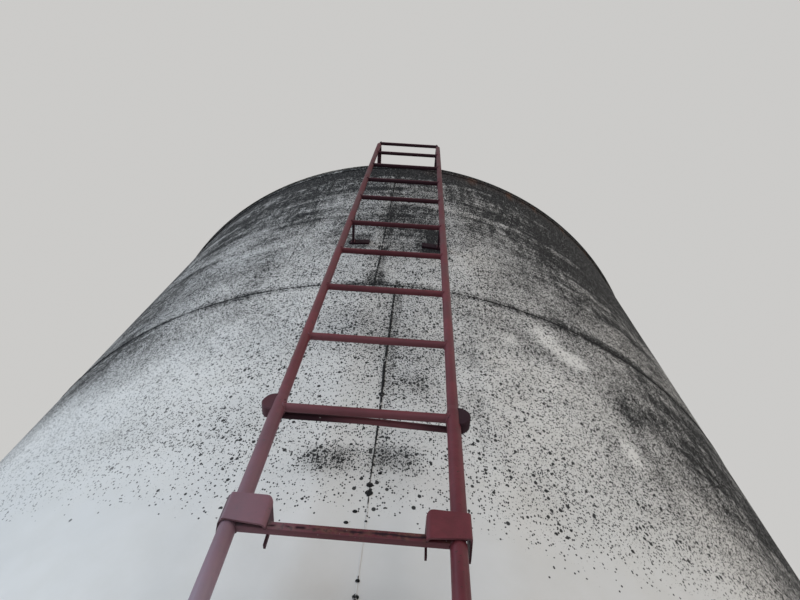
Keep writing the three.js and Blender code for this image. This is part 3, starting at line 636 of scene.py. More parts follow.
def wall_mildew(points):
    """How thickly mildew covers the wall, from 0 to about 1.2: it starts some way up, grows with height,
    and is shifted by the stains above and by noise drawn out along the wall."""
    angle, z = around(points)
    start = 0.09 * smooth(8, 26, -angle) + 0.10 * smooth(26, 44, -angle) - 0.12 * smooth(26, 46, angle)
    cover = np.interp(z - start, [2.40, 2.58, 2.70, 2.90, 3.3, 3.8, 4.3, 4.9, 5.3, 5.46, 5.68],
                      [0, 0.06, 0.28, 0.40, 0.44, 0.47, 0.56, 0.68, 0.76, 0.86, 0.94])
    for left, right, bottom, top, edge, blur, amount in STAINS:
        left_edge, right_edge = (SIDE_FADE if abs(side) == SIDE_ANGLE else edge for side in (left, right))
        across = smooth(left - left_edge, left + left_edge, angle) * (
            1 - smooth(right - right_edge, right + right_edge, angle))
        cover = cover + amount * across * within(bottom, top, blur, z)
    patches = 0.07 * patchy(angle, z, 0.5, 0.3, 1) + 0.06 * patchy(angle, z, 0.14, 0.14, 2)
    streaks = 0.10 * patchy(angle, z, 0.9, 0.06, 3) + 0.08 * patchy(angle, z, 0.09, 0.4, 4)
    cover = cover + smooth(2.5, 3.0, z) * patches + smooth(4.2, 4.7, z) * streaks
    return np.clip(cover, 0, 1.25)


def roof_mildew(points):
    """Mildew on the roof: even cover, thicker low down, in patches."""
    angle, z = around(points)
    return np.clip(0.42 + 0.18 * patchy(angle, z, 0.6, 0.2, 5) + 0.2 * smooth(6.1, 5.68, z), 0, 1)


def wall_rust(points):
    """Rust bleeding down from the roof's rim, in upright streaks on the right, and up from the wall's
    foot."""
    angle, z = around(points)
    streak = smooth(0.25, 0.8, patchy(angle, z, 0.035, 1.2, 6))
    rim = within(3, 60, 3, angle) * smooth(5.46, 5.64, z) * (0.12 + 0.88 * streak)
    uneven = patchy(angle, z, 0.05, 1.0, 7) + 0.4 * patchy(angle, z, 0.4, 1.0, 9)
    return np.clip(0.45 * rim + 0.4 * smooth(2.02, 1.9, z) * smooth(0.2, 0.9, uneven), 0, 1)


def hopper_rust(points):
    """Rust and dust low on the hopper, in streaks down its slope."""
    angle, z = around(points)
    return 0.6 * smooth(1.0, 0.5, z) * smooth(0.1, 0.8, patchy(angle, z, 0.12, 2.0, 8))


# ---- Wall, hopper, roof and their welds ----

# Bottom and top of each course of sheets, and the angle of its first upright seam
COURSES = {"lower": (JOINT_Z, SEAM_Z, 0.67), "upper": (SEAM_Z + GAP, EAVE_Z, -1.81)}


def sheet_angles(start, narrowest, columns):
    """Angles across a third of the bin, less half the gap between sheets at either side."""
    trim = np.degrees(GAP / 2 / narrowest)
    return (start + trim + np.linspace(0, 120 - 2 * trim, columns))[:, None]


def wall_sheet(level, n):
    """One rolled sheet: angle across and height up. Its radius is the wall's plus a gentle waviness, and
    it draws in a little over the last few centimetres before each upright weld. The outline goes up
    outside and down inside."""
    bottom, top, seam = COURSES[level]
    start = seam + 120 * n
    angle, z = sheet_angles(start, WALL_R, 200), np.linspace(bottom, top, 96)
    wave = 0.0009 * patchy(angle, z, 0.9, 0.6, 11) + 0.0005 * patchy(angle, z, 0.3, 0.3, 12)
    wave = wave * smooth(0, 0.05, z - bottom) * smooth(0, 0.05, top - z)
    drawn_in = 0.0011 * smooth(2.2, 0, np.minimum(angle - start, start + 120 - angle))
    slack = 0.0015    # keeps the inside clear of the waviness
    inside = round_bin(WALL_R - WALL_T - slack, angle, np.linspace(top, bottom, 6))
    grid = np.concatenate([round_bin(WALL_R + wave - drawn_in, angle, z), inside], 1)
    skin = Shells().add(grid, mildew=wall_mildew, rust=wall_rust)
    skin.make(f"{level}_wall_skin_{n + 1}", WALL, f"{level}_wall_sheet_{n + 1}")


KNOTS = [(2.461, 0.006), (2.494, 0.004), (2.714, 0.0085), (2.738, 0.0075), (3.080, 0.008)]    # height, size


def weld_grime(points):
    """Grime held in an upright weld: as the wall beside it and more, in short lengths, most about the
    knots and just below the upper pair."""
    angle, z = around(points)
    grime = wall_mildew(points) + 0.2 + 0.35 * smooth(2.66, 2.9, z) + 0.6 * within(2.684, 2.72, 0.006, z)
    short_lengths = 0.45 * patchy(angle, z, 0.5, 0.022, 13) * smooth(2.75, 2.8, z)
    grime = grime + short_lengths - 0.3 * within(2.51, 2.63, 0.006, z)
    for at, size in KNOTS:
        grime = grime + 0.8 * np.exp(-((z - at) / size) ** 2)
    return np.clip(grime, 0, 1.3)


def make_wall_welds():
    """A bead round the level seam and one up each upright seam, thin low down and thicker higher up, with
    knots of weld and dirt on the front one."""
    angle = np.arange(1500) / 1500 * 360
    sag = 0.0015 * patchy(angle, 0 * angle, 0.7, 1.0, 21)
    bead = bead_along(round_bin(WALL_R, angle, SEAM_Z + sag), round_bin(1.0, angle, 0.0), 0.0075, 0.0024, 22,
                      closed=True)
    weld = Shells().add(bead, loop=True, mildew=lambda points: np.clip(wall_mildew(points) + 0.22, 0, 1.2),
                        rust=wall_rust)
    weld.make("level_seam_weld", WALL)
    ends = {"lower": (JOINT_Z + 0.052, SEAM_Z - 0.002), "upper": (SEAM_Z + 0.002, EAVE_Z - 0.042)}
    for level, (low, high) in ends.items():
        shells = Shells()
        z = np.linspace(low, high, 720)
        for n in THIRDS:
            angle = COURSES[level][2] + 120 * n + 0.06 * patchy(0 * z, z, 1.0, 0.12, 23 + n)
            width = 0.0020 + 0.0060 * smooth(2.65, 3.3, z)
            height = 0.0006 + 0.0014 * smooth(2.65, 3.1, z)
            for at, size in KNOTS if n == 0 and level == "lower" else ():
                lump = np.sqrt(np.clip(1 - ((z - at) / size) ** 2, 0, 1))
                width, height = width + 1.6 * size * lump, height + 0.18 * size * lump
            path, outward = round_bin(WALL_R - 0.0011, angle, z), round_bin(1.0, angle, 0.0)
            shells.add(bead_along(path, outward, width, height, 27 + n), mildew=weld_grime, rust=wall_rust)
        shells.make(f"{level}_upright_welds", WALL)


def make_weld_spatter():
    """Flattened drops of weld on the sheet beside the front seam: rings of a low half-round section, black
    with dirt."""
    drops = [(1.28, 2.7765, 0.0048), (-0.07, 2.659, 0.0055), (-0.53, 2.628, 0.0052), (0.72, 2.6348, 0.003),
             (1.07, 2.8358, 0.0035), (-1.6, 2.701, 0.0025), (2.1, 2.733, 0.0025), (1.7, 2.902, 0.0025)]
    shells = Shells()
    t = np.linspace(0, np.pi / 2, 5)
    for angle, z, size in drops:
        out = round_bin(1.0, angle, 0.0)
        path = round_bin(WALL_R - 0.0012, angle, z) + np.outer(0.0026 * np.sin(t), out)
        drop = swept(path, circle(size, 12, squash=0.8), np.cross(out, [0, 0, 1]), np.cos(t * 0.95))
        shells.add(drop, mildew=1.3)
    shells.make("weld_spatter", WALL)


def cone_sheet(kind, n, outer, inner, face_at, through, ripple, **fields):
    """One rolled sheet of a cone: angle across and radius inwards, its height a straight line of the
    radius with a gentle waviness. The outline goes in along the outer face and back along the inner one."""
    angle, r = sheet_angles(60 + 120 * n, inner, 150), np.linspace(outer, inner, 60)
    wave = ripple * patchy(angle, r, 0.9, 0.35, 31) * smooth(0, 0.08, outer - r) * smooth(0, 0.08, r - inner)
    back = np.linspace(inner, outer, 6)
    inside = round_bin(back, angle, face_at(back) + through)
    skin = Shells().add(np.concatenate([round_bin(r, angle, face_at(r) + wave), inside], 1), **fields)
    skin.make(f"{kind}_skin_{n + 1}", WALL, f"{kind}_sheet_{n + 1}")


def hopper_under(r):
    """Height of the hopper's underside at a radius."""
    return JOINT_Z - GAP - HOPPER_THROUGH - (WALL_R - r) * np.tan(HOPPER_SLOPE)


def roof_over(r):
    """Height of the roof's top at a radius."""
    return EAVE_Z + GAP + ROOF_THROUGH + (WALL_R + 0.005 - r) * np.tan(ROOF_SLOPE)


def cone_welds(name, count, outer, inner, face_at, outward, width, height, seed, mildew):
    """Beads down a cone's slope, spaced evenly round it. Outward is a radius and a height."""
    shells, r = Shells(), np.linspace(outer, inner, 240)
    for n in range(count):
        angle = 60 + 360 / count * n
        path, out = round_bin(r, angle, face_at(r)), round_bin(outward[0], angle, outward[1])
        shells.add(bead_along(path, out, width, height, seed + n), mildew=mildew)
    shells.make(name, WALL)


for level in COURSES:
    for n in THIRDS:
        wall_sheet(level, n)
make_wall_welds()
make_weld_spatter()
for n in THIRDS:
    cone_sheet("hopper", n, WALL_R, OUTLET_R, hopper_under, HOPPER_THROUGH, -0.0012, rust=hopper_rust)
    cone_sheet("roof", n, ROOF_EDGE_R, FILL_R, roof_over, -ROOF_THROUGH, 0.0012, mildew=roof_mildew)
cone_welds("hopper_welds", 9, WALL_R - 0.004, OUTLET_R + 0.004, hopper_under,
           (np.sin(HOPPER_SLOPE), -np.cos(HOPPER_SLOPE)), 0.009, 0.002, 41, 0.2)
cone_welds("roof_welds", 12, ROOF_EDGE_R - 0.003, FILL_R + 0.004, roof_over,
           (np.sin(ROOF_SLOPE), np.cos(ROOF_SLOPE)), 0.010, 0.0025, 61, 0.8)


# ---- Rings, legs, outlet and fill opening ----

def flat_ring_profile(inner, outer, bottom, top):
    """Outline of a flat band with broken outer edges, as (radius, height) points."""
    edge = 0.001
    return [(inner, bottom), (outer - edge, bottom), (outer, bottom + edge), (outer, top - edge),
            (outer - edge, top), (inner, top)]


def make_rings():
    """Flat bands with broken edges, and a base ring rolled from channel with its open side in."""
    inner, outer, top, web, flange = LEG_R - 0.06, LEG_R + 0.06, 0.06, 0.007, 0.008
    channel = [(inner, 0), (outer - 0.006, 0), (outer - 0.002, 0.002), (outer, 0.006), (outer, top - 0.006),
               (outer - 0.002, top - 0.002), (outer - 0.006, top), (inner, top), (inner, top - flange),
               (outer - web - 0.008, top - flange - 0.001), (outer - web, top - flange - 0.008),
               (outer - web, flange + 0.008), (outer - web - 0.008, flange + 0.001), (inner, flange)]
    joint = flat_ring_profile(WALL_R + GAP, WALL_R + 0.006, JOINT_Z - 0.05, JOINT_Z + 0.05)
    eave = flat_ring_profile(WALL_R + GAP, WALL_R + 0.005, EAVE_Z - 0.04, EAVE_Z)
    rings = [("hopper_band", "hopper_ring", 0, joint, WALL, {"mildew": 0.12, "rust": wall_rust}),
             ("eave_band", "eave_ring", 30, eave, WALL,
              {"mildew": lambda points: wall_mildew(points) - 0.25, "rust": wall_rust}),
             ("base_channel", "base_ring", 0, channel, FRAME, {"wear": 0.25})]
    trim = 0.006    # degrees left open at either side of each third
    for n in THIRDS:
        for name, replaced, start, profile, finish, fields in rings:
            ring = ring_strip(profile, start + 120 * n + trim, 120 - 2 * trim, 140)
            Shells().add(ring, **fields).make(f"{name}_{n + 1}", finish, f"{replaced}_{n + 1}")


def make_legs():
    """A square tube with round corners on a foot plate with four bolts, a curved saddle plate above the
    hopper ring, and welds where they meet."""
    half, foot_z, top, plate = 0.051, 0.0603, 2.14, 0.01
    outline = rounded_rectangle(half, half, 0.010, 5)
    heights = [foot_z + plate, foot_z + plate + 0.002, 0.5, 1.0, 1.5, top - 0.002, top]
    saddle = flat_ring_profile(WALL_R + GAP, WALL_R + 0.0073, JOINT_Z + 0.0503, top + 0.12)
    x, y = np.concatenate([outline, outline[:1]]).T
    foot = points_at(x, y - LEG_R, foot_z + plate)
    outward = foot - np.array([0, -LEG_R, foot_z - 0.04])
    outward /= np.linalg.norm(outward, axis=1, keepdims=True)
    for n in range(6):
        shells = Shells().add(upright(outline, heights, [0, 0, 0, 0, 0, 0, 0.002], (0, -LEG_R)), wear=0.12)
        shells.add(slab((-0.09, -LEG_R - 0.056, foot_z), (0.09, -LEG_R + 0.056, foot_z + plate)), wear=0.3)
        shells.add(ring_strip(saddle, -4, 8, 12), wear=0.1)
        for x in (-0.072, 0.072):
            for y in (-0.036, 0.036):
                shells.add(hexagon_head((x, -LEG_R + y, foot_z + plate), (0, 0, 1), 0.018, 0.008), wear=0.6)
        shells.add(bead_along(foot, outward, 0.012, 0.005, 80 + n), wear=0.2)
        for side in SIDE_NAMES:
            edge = points_at(side * half, -(WALL_R + 0.0075), np.linspace(JOINT_Z + 0.056, top - 0.004, 60))
            shells.add(bead_along(edge, (side * 0.7, -0.7, 0), 0.009, 0.004, 90 + n), wear=0.15)
        shells.turned(30 + 60 * n).make(f"leg_tube_{n + 1}", FRAME, f"leg_{n + 1}")


def make_outlet():
    """Turned neck with a flange held by eight bolts. The gate's housing and plate stay as the frame has
    them."""
    bottom, outer, inner, flange = 0.3993, OUTLET_R - GAP, OUTLET_R - GAP - 0.004, 0.215
    neck = [(inner, bottom), (flange - 0.001, bottom), (flange, bottom + 0.001), (flange, bottom + 0.007),
            (flange - 0.001, bottom + 0.008), (outer + 0.006, bottom + 0.008),
            (outer + 0.002, bottom + 0.010), (outer, bottom + 0.014), (outer, 0.5093), (inner, 0.5093)]
    shells = Shells().add(full_ring(neck), loop=True, mildew=0.15, rust=0.25)
    for a in np.radians(22.5 + 45 * np.arange(8)):
        place = (0.199 * np.cos(a), 0.199 * np.sin(a), bottom + 0.008)
        shells.add(hexagon_head(place, (0, 0, 1), 0.016, 0.007), rust=0.5)
    shells.make("outlet_collar", WALL, "outlet_neck")
    for name, material in (("gate_housing", MAROON), ("gate_plate", STEEL)):
        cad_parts[name].data.materials.clear()
        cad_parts[name].data.materials.append(material)
    bolts = Shells()
    for x in (-0.197, 0.197):
        for y in (-0.18, -0.06, 0.06, 0.18):
            for z, way in ((0.3988, 1), (0.3512, -1)):
                bolts.add(hexagon_head((x, y, z), (0, 0, way), 0.014, 0.006), wear=0.5)
    bolts.make("gate_bolts", FRAME)


def make_fill_opening():
    """Turned collar with a rolled lip, and a shallow domed lid with a rim, a hinge, a latch and a lifting
    handle."""
    outer, inner, low, top, lid_r = FILL_R - GAP, FILL_R - GAP - 0.004, 6.5939, 6.7073, 0.262
    collar = [(inner, low), (outer, low), (outer, top - 0.006), (outer + 0.003, top - 0.004),
              (outer + 0.003, top - 0.001), (outer, top), (inner, top)]
    Shells().add(full_ring(collar), loop=True, mildew=0.5).make("fill_collar_ring", WALL, "fill_collar")
    r = np.linspace(lid_r, 0.0, 14)
    over = np.stack([r, 6.7106 + 0.023 * (1 - (r / lid_r) ** 2)], -1)
    rim = [(lid_r - 0.003, 6.7076), (lid_r - 0.003, 6.6745), (lid_r - 0.0015, 6.6736), (lid_r, 6.6745)]
    lid = full_ring(np.concatenate([rim, over, [(0.0, 6.7076)]]))
    Shells().add(lid, loop=True, mildew=roof_mildew).make("fill_lid_dome", WALL, "fill_lid", merge=True)
    t = np.linspace(0, np.pi, 24)
    grip = points_at(0.055 * np.cos(t), -0.12, 6.726 - 0.004 * np.sin(t))
    shells = Shells().add(slab((-0.03, 0.24, 6.7090), (0.03, 0.272, 6.7150)), wear=0.4)
    shells.add(bar((-0.035, 0.268, 6.705), (0.035, 0.268, 6.705), 0.006, 16), wear=0.4)
    shells.add(slab((-0.012, -0.275, 6.676), (0.012, -0.262, 6.716)), wear=0.4)
    shells.add(swept(grip, circle(0.004, 10), (0, 1, 0)), wear=0.5)
    shells.make("lid_hinge_and_latch", FRAME)


make_rings()
make_legs()
make_outlet()
make_fill_opening()


# ---- Ladder ----

def foot_wear(points):
    """Paint rubbed off a rung: most on its upper half and towards its middle, where feet go."""
    near = smooth(0.19, 0.05, np.abs(points[:, 0]))
    levels = np.array(UPPER_RUNG_HEIGHTS + LOWER_RUNG_HEIGHTS + [SPLICE_Z, FLAT_RUNG_Z, RETURN_RUNG_Z])
    above = points[:, 2] - levels[np.abs(points[:, 2][:, None] - levels).argmin(1)]
    return 0.12 + 0.75 * near * smooth(-0.004, 0.008, above)


def flat_front(points):
    """1 on the flat rung's front and 0 on its other sides."""
    return smooth(LADDER_Y - 0.003, LADDER_Y - 0.006, points[:, 1])


def flat_wear(points):
    """The flat rung's front is rubbed and chipped, most along its middle."""
    return 0.2 + flat_front(points) * (0.3 + 0.45 * np.exp(-((points[:, 2] - FLAT_RUNG_Z) / 0.004) ** 2))


def flat_grime(points):
    """Dirt on the flat rung's front, in a ragged line along its middle, blacker and unbroken towards the
    right."""
    x = points[:, 0]
    random = np.random.default_rng(17)
    broken, breadth, wander = (np.interp(x, np.linspace(-RAIL_X, RAIL_X, count), random.uniform(0, 1, count))
                               for count in (46, 90, 24))
    dashes = smooth(0.1, 0.85, broken + 0.45 * smooth(0.0, 0.1, x))
    off = points[:, 2] - FLAT_RUNG_Z + 0.002 * x / RAIL_X + 0.003 * (wander - 0.5)
    line = 0.95 * dashes * np.exp(-(off / (0.0012 + 0.003 * breadth)) ** 2)
    return 0.03 + flat_front(points) * (0.14 + line)


def splice_dirt_and_shade(points):
    """Black dirt and painted shade between the splice's rung and bar, most at the left, where the bar lies
    against the rung, and at the right end.
    """
    x = points[:, 0]
    return 0.85 * smooth(0.0, -0.12, x) + 0.6 * smooth(0.08, 0.17, x) + 0.1


def add_rung(shells, z, rail_radius, seed, left=-RAIL_X, right=RAIL_X):
    """A rung with a lumpy weld round each end."""
    shells.add(bar((left, LADDER_Y, z), (right, LADDER_Y, z), RUNG, rings=24), wear=foot_wear)
    for x, way in ((left, 1), (right, -1)):
        place = (x + way * rail_radius, LADDER_Y, z)
        shells.add(weld_ring(place, (way, 0, 0), RUNG, 0.0035, seed + way, rail_radius), wear=0.15)


def add_rail(shells, x, z, radius):
    """An upright round rail through the given heights, with a radius at each."""
    shells.add(swept(points_at(x, LADDER_Y, z), circle(1.0, 32), (1, 0, 0), radius), wear=0.12)


def make_upper_ladder():
    """Thin rails whose feet flare to the thick rails' width, and eight rungs."""
    shells = Shells()
    z = np.concatenate([[THICK_RAIL_TOP + GAP], np.linspace(THICK_RAIL_TOP + 0.002, FLARE_TOP, 8),
                        np.linspace(FLARE_TOP + 0.02, 5.6597, 40)])
    radius = THICK_RAIL + (THIN_RAIL - THICK_RAIL) * smooth(THICK_RAIL_TOP, FLARE_TOP, z)
    for side in SIDE_NAMES:
        add_rail(shells, side * RAIL_X, z, radius)
    for n, height in enumerate(UPPER_RUNG_HEIGHTS):
        add_rung(shells, height, THIN_RAIL, 100 + 3 * n)
    shells.make("ladder_thin_rails", LADDER, "ladder_upper")


def make_return():
    """Rails that bend back level over the eave: up, a quarter turn, then straight back."""
    shells = Shells()
    top, bend, back = 5.83, 0.075, 0.24
    t = np.linspace(0, np.pi / 2, 14)
    y = np.concatenate([np.zeros(6), bend * (1 - np.cos(t)), np.linspace(bend, back, 8)[1:]])
    z = np.concatenate([np.linspace(5.66, top - bend, 7)[:-1], top - bend + bend * np.sin(t),
                        np.full(7, top)])
    for side in SIDE_NAMES:
        path = points_at(side * RAIL_X, LADDER_Y + y, z)
        shells.add(swept(path, circle(THIN_RAIL, 32), (1, 0, 0)), wear=0.25)
    add_rung(shells, RETURN_RUNG_Z, THIN_RAIL, 160)
    shells.make("ladder_top_return", LADDER, "ladder_return")


def make_splice():
    """Round bosses that clasp the rails from behind, turned discs whose rim is drawn out unevenly by weld;
    a rung between them; and on two studs behind it a bar that lies against it on the left and bends away
    on the right."""
    shells = Shells()
    radius, front, back, edge = 0.031, -0.011, 0.019, 0.003
    disc = [(0, front), (radius - edge, front), (radius, front + edge), (radius, back - edge),
            (radius - edge, back), (0, back)]
    behind = {-1: 0.0227, 1: 0.0312}
    # The grime darkens the discs, the right one to nearly black: painted shade, as if they lay in shadow
    # behind the rails.
    for side, raised, grime in ((-1, 0.007, 0.6), (1, 0.0, 0.97)):
        turned = full_ring(disc, 48)
        a = np.arange(48)[:, None, None] / 48 * 2 * np.pi
        turned[..., :2] *= 1 + 0.02 * np.sin(3 * a + side) + 0.012 * np.sin(7 * a)
        middle = np.array([side * (RAIL_X + 0.0115), LADDER_Y, SPLICE_Z + raised])
        shells.add(turned[..., [0, 2, 1]] * np.array([0.87, 1, 1]) + middle, loop=True, wear=0.2, grime=grime)
        x = side * RAIL_X
        stud = bar((x, LADDER_Y + 0.018, SPLICE_Z), (x, LADDER_Y + behind[side], SPLICE_Z), 0.0085)
        shells.add(stud, wear=0.3)
    x = np.linspace(-RAIL_X - 0.005, RAIL_X + 0.005, 30)
    away = (behind[1] - behind[-1]) * np.maximum(x / RAIL_X, 0)
    path = points_at(x, LADDER_Y + behind[-1] + away, SPLICE_Z)
    shells.add(swept(path, circle(0.0078), (0, 1, 0)), wear=0.3, grime=splice_dirt_and_shade)
    add_rung(shells, SPLICE_Z, THICK_RAIL, 175)
    shells.make("ladder_splice_bosses", LADDER, "ladder_splice", merge=True)


def make_middle_rails():
    """The two short thick rails, from inside the sockets up to the splice."""
    bottom = FLAT_RUNG_TOP + GAP
    z = np.concatenate([[bottom, bottom + 0.001], np.linspace(2.51, THICK_RAIL_TOP, 16)])
    radius = np.full(len(z), THICK_RAIL)
    radius[0] -= 0.001
    for side, name in SIDE_NAMES.items():
        shells = Shells()
        add_rail(shells, side * RAIL_X, z, radius)
        shells.make(f"ladder_thick_rail_{name}", LADDER, f"ladder_middle_{name}")


SOCKET_HEIGHTS = {    # of the bottom and of the top, at the inner and at the outer edge
    -1: ((2.4785, 2.488), (2.547, 2.549)),
    1: ((2.4765, 2.482), (2.542, 2.538)),
}


def make_socket(side):
    """One folded socket. Its plan runs forward along the outer cheek, round a bend, along the front, round
    a wider bend and back along the inner cheek. At each place of the plan the plate goes up from a lower
    edge to an upper edge that rounds down at the inner corner. The inner cheek's lower edge steps over the
    rung's notch and down again behind it, and the outer cheek's slopes down to the same height. The left
    outer cheek is spread round the rail."""
    plate, inner_bend, outer_bend, corner, back_low = 0.004, 0.009, 0.0055, 0.014, 2.471
    inner, outer = RAIL_X - 0.060, RAIL_X + THICK_RAIL + GAP + plate
    front, back = LADDER_Y - THICK_RAIL - GAP - plate, LADDER_Y + 0.029
    strip_front, notch_front, step = back - 0.010, LADDER_Y - 0.0077, 0.0003
    t = np.linspace(0, np.pi / 2, 8)
    depths = np.array([front + inner_bend + step, notch_front - step, notch_front,
                       strip_front - step, strip_front, back])

    def plan(inset):
        """The plan's line, set in by part of the plate's thickness."""
        arc_out = np.array([outer - outer_bend, front + outer_bend]) + (outer_bend - inset) * np.stack(
            [np.cos(t), -np.sin(t)], -1)
        arc_in = np.array([inner + inner_bend, front + inner_bend]) + (inner_bend - inset) * np.stack(
            [-np.sin(t), -np.cos(t)], -1)
        outer_cheek = np.stack([np.full(6, outer - inset), depths[::-1]], -1)
        inner_cheek = np.stack([np.full(6, inner + inset), depths], -1)
        across = np.linspace(arc_out[-1], arc_in[0], 14)[1:-1]
        return np.concatenate([outer_cheek, arc_out, across, arc_in, inner_cheek])

    x, y = plan(0.0).T
    lows, tops = SOCKET_HEIGHTS[side]
    notch_top = FLAT_RUNG_Z + 0.009 + (0.0027 if side < 0 else 0.0007)
    on_outer = x > (inner + outer) / 2
    low = np.where((y > notch_front - step / 2) & ~on_outer, notch_top, np.interp(x, [inner, outer], lows))
    low = np.where(y > strip_front - step / 2, back_low, low)
    slope = np.interp(y, [front + outer_bend, strip_front], [lows[1], back_low])
    low = np.where(on_outer & (y > front + outer_bend), slope, low)
    near = np.clip((inner + corner - x) / corner, 0, 1)
    top = np.interp(x, [inner, outer], tops) - corner * (1 - np.sqrt(1 - near ** 2))
    rise = np.linspace(0, 1, 6)
    grid = np.concatenate([points_at(line[:, :1], line[:, 1:], low[:, None] + way * (top - low)[:, None])
                           for line, way in ((plan(0.0), rise), (plan(plate), rise[::-1]))], 1)
    if side < 0:
        spread = np.interp(grid[..., 1] - LADDER_Y, [-0.0142, -0.012, -0.004, 0.0],
                           [0, 0.003, 0.0084, 0.0086])
        grid[..., 0] += np.where(grid[..., 0] > outer - 0.006, spread, 0)
    # Behind the front plate the cheeks take grime that darkens them: painted shade, as they lie in shadow
    # inside the socket.
    socket = Shells().add(grid * np.array([side, 1, 1]), wear=0.05,
                          grime=lambda points: 0.75 * smooth(front + 0.005, front + 0.012, points[:, 1]))
    socket.make(f"ladder_socket_plate_{SIDE_NAMES[side]}", LADDER, f"ladder_socket_{SIDE_NAMES[side]}")


def make_lower_ladder():
    """Rails whose tops narrow to round ends inside the sockets, radius cos t at a height of sin t; the
    flat-faced rung that the sockets hook over, a little higher on the left; and the round rungs below it."""
    shells = Shells()
    low, high = 0.42, FLAT_RUNG_TOP
    left, right = LOWER_LADDER_X.values()
    t = np.linspace(0, np.pi / 2, 12)
    radius = THICK_RAIL * np.concatenate([[0.9, 1], np.ones(24), np.cos(t * 0.97)])
    for side, dome in ((-1, 0.018), (1, 0.026)):
        z = np.concatenate([[low, low + 0.0015], np.linspace(low + 0.01, high - dome - 0.001, 24),
                            high - dome + dome * np.sin(t)])
        add_rail(shells, LOWER_LADDER_X[side], z, radius)
        lump = (LOWER_LADDER_X[side] - side * 0.0135, LADDER_Y, FLAT_RUNG_Z - side * 0.002)
        shells.add(weld_ring(lump, (-side, 0, 0), 0.0085, 0.004, 190 + side, THICK_RAIL), wear=0.2, grime=0.5)
    x = np.linspace(left, right, 300)
    path = points_at(x, LADDER_Y, FLAT_RUNG_Z - 0.002 * x / RAIL_X)
    face = np.stack([np.full(11, -0.007), np.linspace(0.006, -0.006, 11)], -1)
    outline = np.insert(rounded_rectangle(0.007, 0.009, 0.0018), 8, face, axis=0)
    shells.add(swept(path, outline, (0, 1, 0)), wear=flat_wear, grime=flat_grime)
    for n, height in enumerate(LOWER_RUNG_HEIGHTS):
        add_rung(shells, height, THICK_RAIL, 200 + 3 * n, left, right)
    shells.make("ladder_lower_length", LADDER, "ladder_lower")


def make_standoff(level, side, z, rail_x, grime):
    """A flat strip on edge from the inner side of a rail back to a foot, which is bent inwards along the
    wall, with welds at both ends."""
    half, inset, inward, outward, depth, foot_half = 0.004, 0.007, 0.080, 0.006, 0.009, 0.022
    x = rail_x - side * inset
    face = -np.sqrt(WALL_R ** 2 - rail_x ** 2)
    strip = slab((x - half, LADDER_Y + 0.0085, z - 0.017), (x + half, face, z + 0.017), 0.001)
    ends = np.degrees(np.arcsin(np.array([rail_x - side * inward, rail_x + side * outward]) / WALL_R))
    profile = flat_ring_profile(WALL_R + GAP, WALL_R + depth, z - foot_half, z + foot_half)
    shells = Shells().add(strip, wear=0.3, grime=grime)
    shells.add(ring_strip(profile, ends.min(), np.ptp(ends), 12), wear=0.8, grime=grime)
    front = -np.sqrt((WALL_R + depth) ** 2 - x ** 2)
    welds = ((-1, front, -0.7, 230), (1, front, -0.7, 230), (side, LADDER_Y + 0.0135, 0.7, 231))
    for way, y, back, seed in welds:
        edge = points_at(x + way * half, y, np.linspace(z - 0.016, z + 0.016, 14))
        shells.add(bead_along(edge, (way * 0.7, back, 0), 0.006, 0.003, seed), wear=0.2)
    name = SIDE_NAMES[side]
    shells.make(f"standoff_strip_{level}_{name}", LADDER, f"standoff_{level}_{name}")


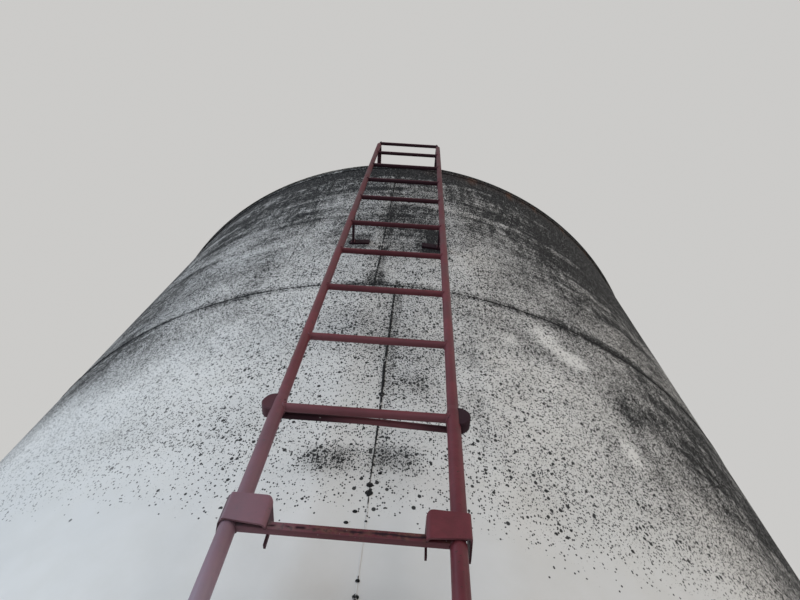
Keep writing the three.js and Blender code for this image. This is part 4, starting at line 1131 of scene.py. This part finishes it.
def make_roof_ladder():
    """Two rails above the roof's slope with rungs, on four short feet."""
    low, high, lift, rail, rung, rung_spacing = 1.48, 0.42, 0.07, 0.0105, 0.0085, 0.326
    shells = Shells()
    for side in SIDE_NAMES:
        x = side * RAIL_X
        ends = [(x, -r, roof_over(r) + lift) for r in (low, high)]
        shells.add(bar(*ends, rail, rings=20), wear=0.12)
    for n in range(4):
        r = low - 0.06 - n * rung_spacing * np.cos(ROOF_SLOPE)
        z = roof_over(r) + lift
        shells.add(bar((-RAIL_X, -r, z), (RAIL_X, -r, z), rung, rings=16), wear=0.45)
        for side in SIDE_NAMES:
            x = side * RAIL_X
            place = (side * (RAIL_X - rail), -r, z)
            shells.add(weld_ring(place, (-side, 0, 0), rung, 0.003, 250 + n, rail))
            if n % 3 == 0:
                shells.add(bar((x, -r, roof_over(np.hypot(r, x)) + 0.002), (x, -r, z), 0.008, 16), wear=0.2)
    shells.make("roof_ladder_rails", LADDER, "roof_ladder")


make_upper_ladder()
make_return()
make_splice()
make_middle_rails()
make_socket(-1)
make_socket(1)
make_lower_ladder()
for side in SIDE_NAMES:
    make_standoff("upper", side, 4.235, side * RAIL_X, 0.9)
for side in SIDE_NAMES:
    make_standoff("lower", side, 1.985, LOWER_LADDER_X[side], 0.1)
make_roof_ladder()


# ---- Studio ----

def make_studio():
    """A pale floor, a pale surrounding light, a large soft lamp high on the left and a weaker one on the
    right."""
    mesh = bpy.data.meshes.new("floor")
    half = 30.0
    mesh.from_pydata([(-half, -half, 0), (half, -half, 0), (half, half, 0), (-half, half, 0)], [],
                     [(0, 1, 2, 3)])
    mesh.materials.append(pale_floor())
    floor = bpy.data.objects.new("floor", mesh)
    bpy.context.scene.collection.objects.link(floor)
    world = bpy.data.worlds.new("studio")
    world.use_nodes = True
    background = world.node_tree.nodes["Background"]
    background.inputs["Color"].default_value = (0.97, 0.96, 0.94, 1)
    background.inputs["Strength"].default_value = 0.62
    bpy.context.scene.world = world
    bpy.context.scene.view_settings.view_transform = "Standard"
    lamps = (("left_lamp", (-13, -10, 7), 10, 1350, (0.60, 0.79, 1.0)),
             ("right_lamp", (11.5, -11.5, 8), 8.5, 570, (1.0, 0.93, 0.84)))
    for name, place, size, power, colour in lamps:
        lamp = bpy.data.lights.new(name, "AREA")
        lamp.shape, lamp.size, lamp.energy, lamp.color = "DISK", size, power, colour
        made = bpy.data.objects.new(name, lamp)
        made.location = place
        made.rotation_euler = (Vector((0, 0, 3.5)) - Vector(place)).to_track_quat("-Z", "Y").to_euler()
        bpy.context.scene.collection.objects.link(made)


make_studio()
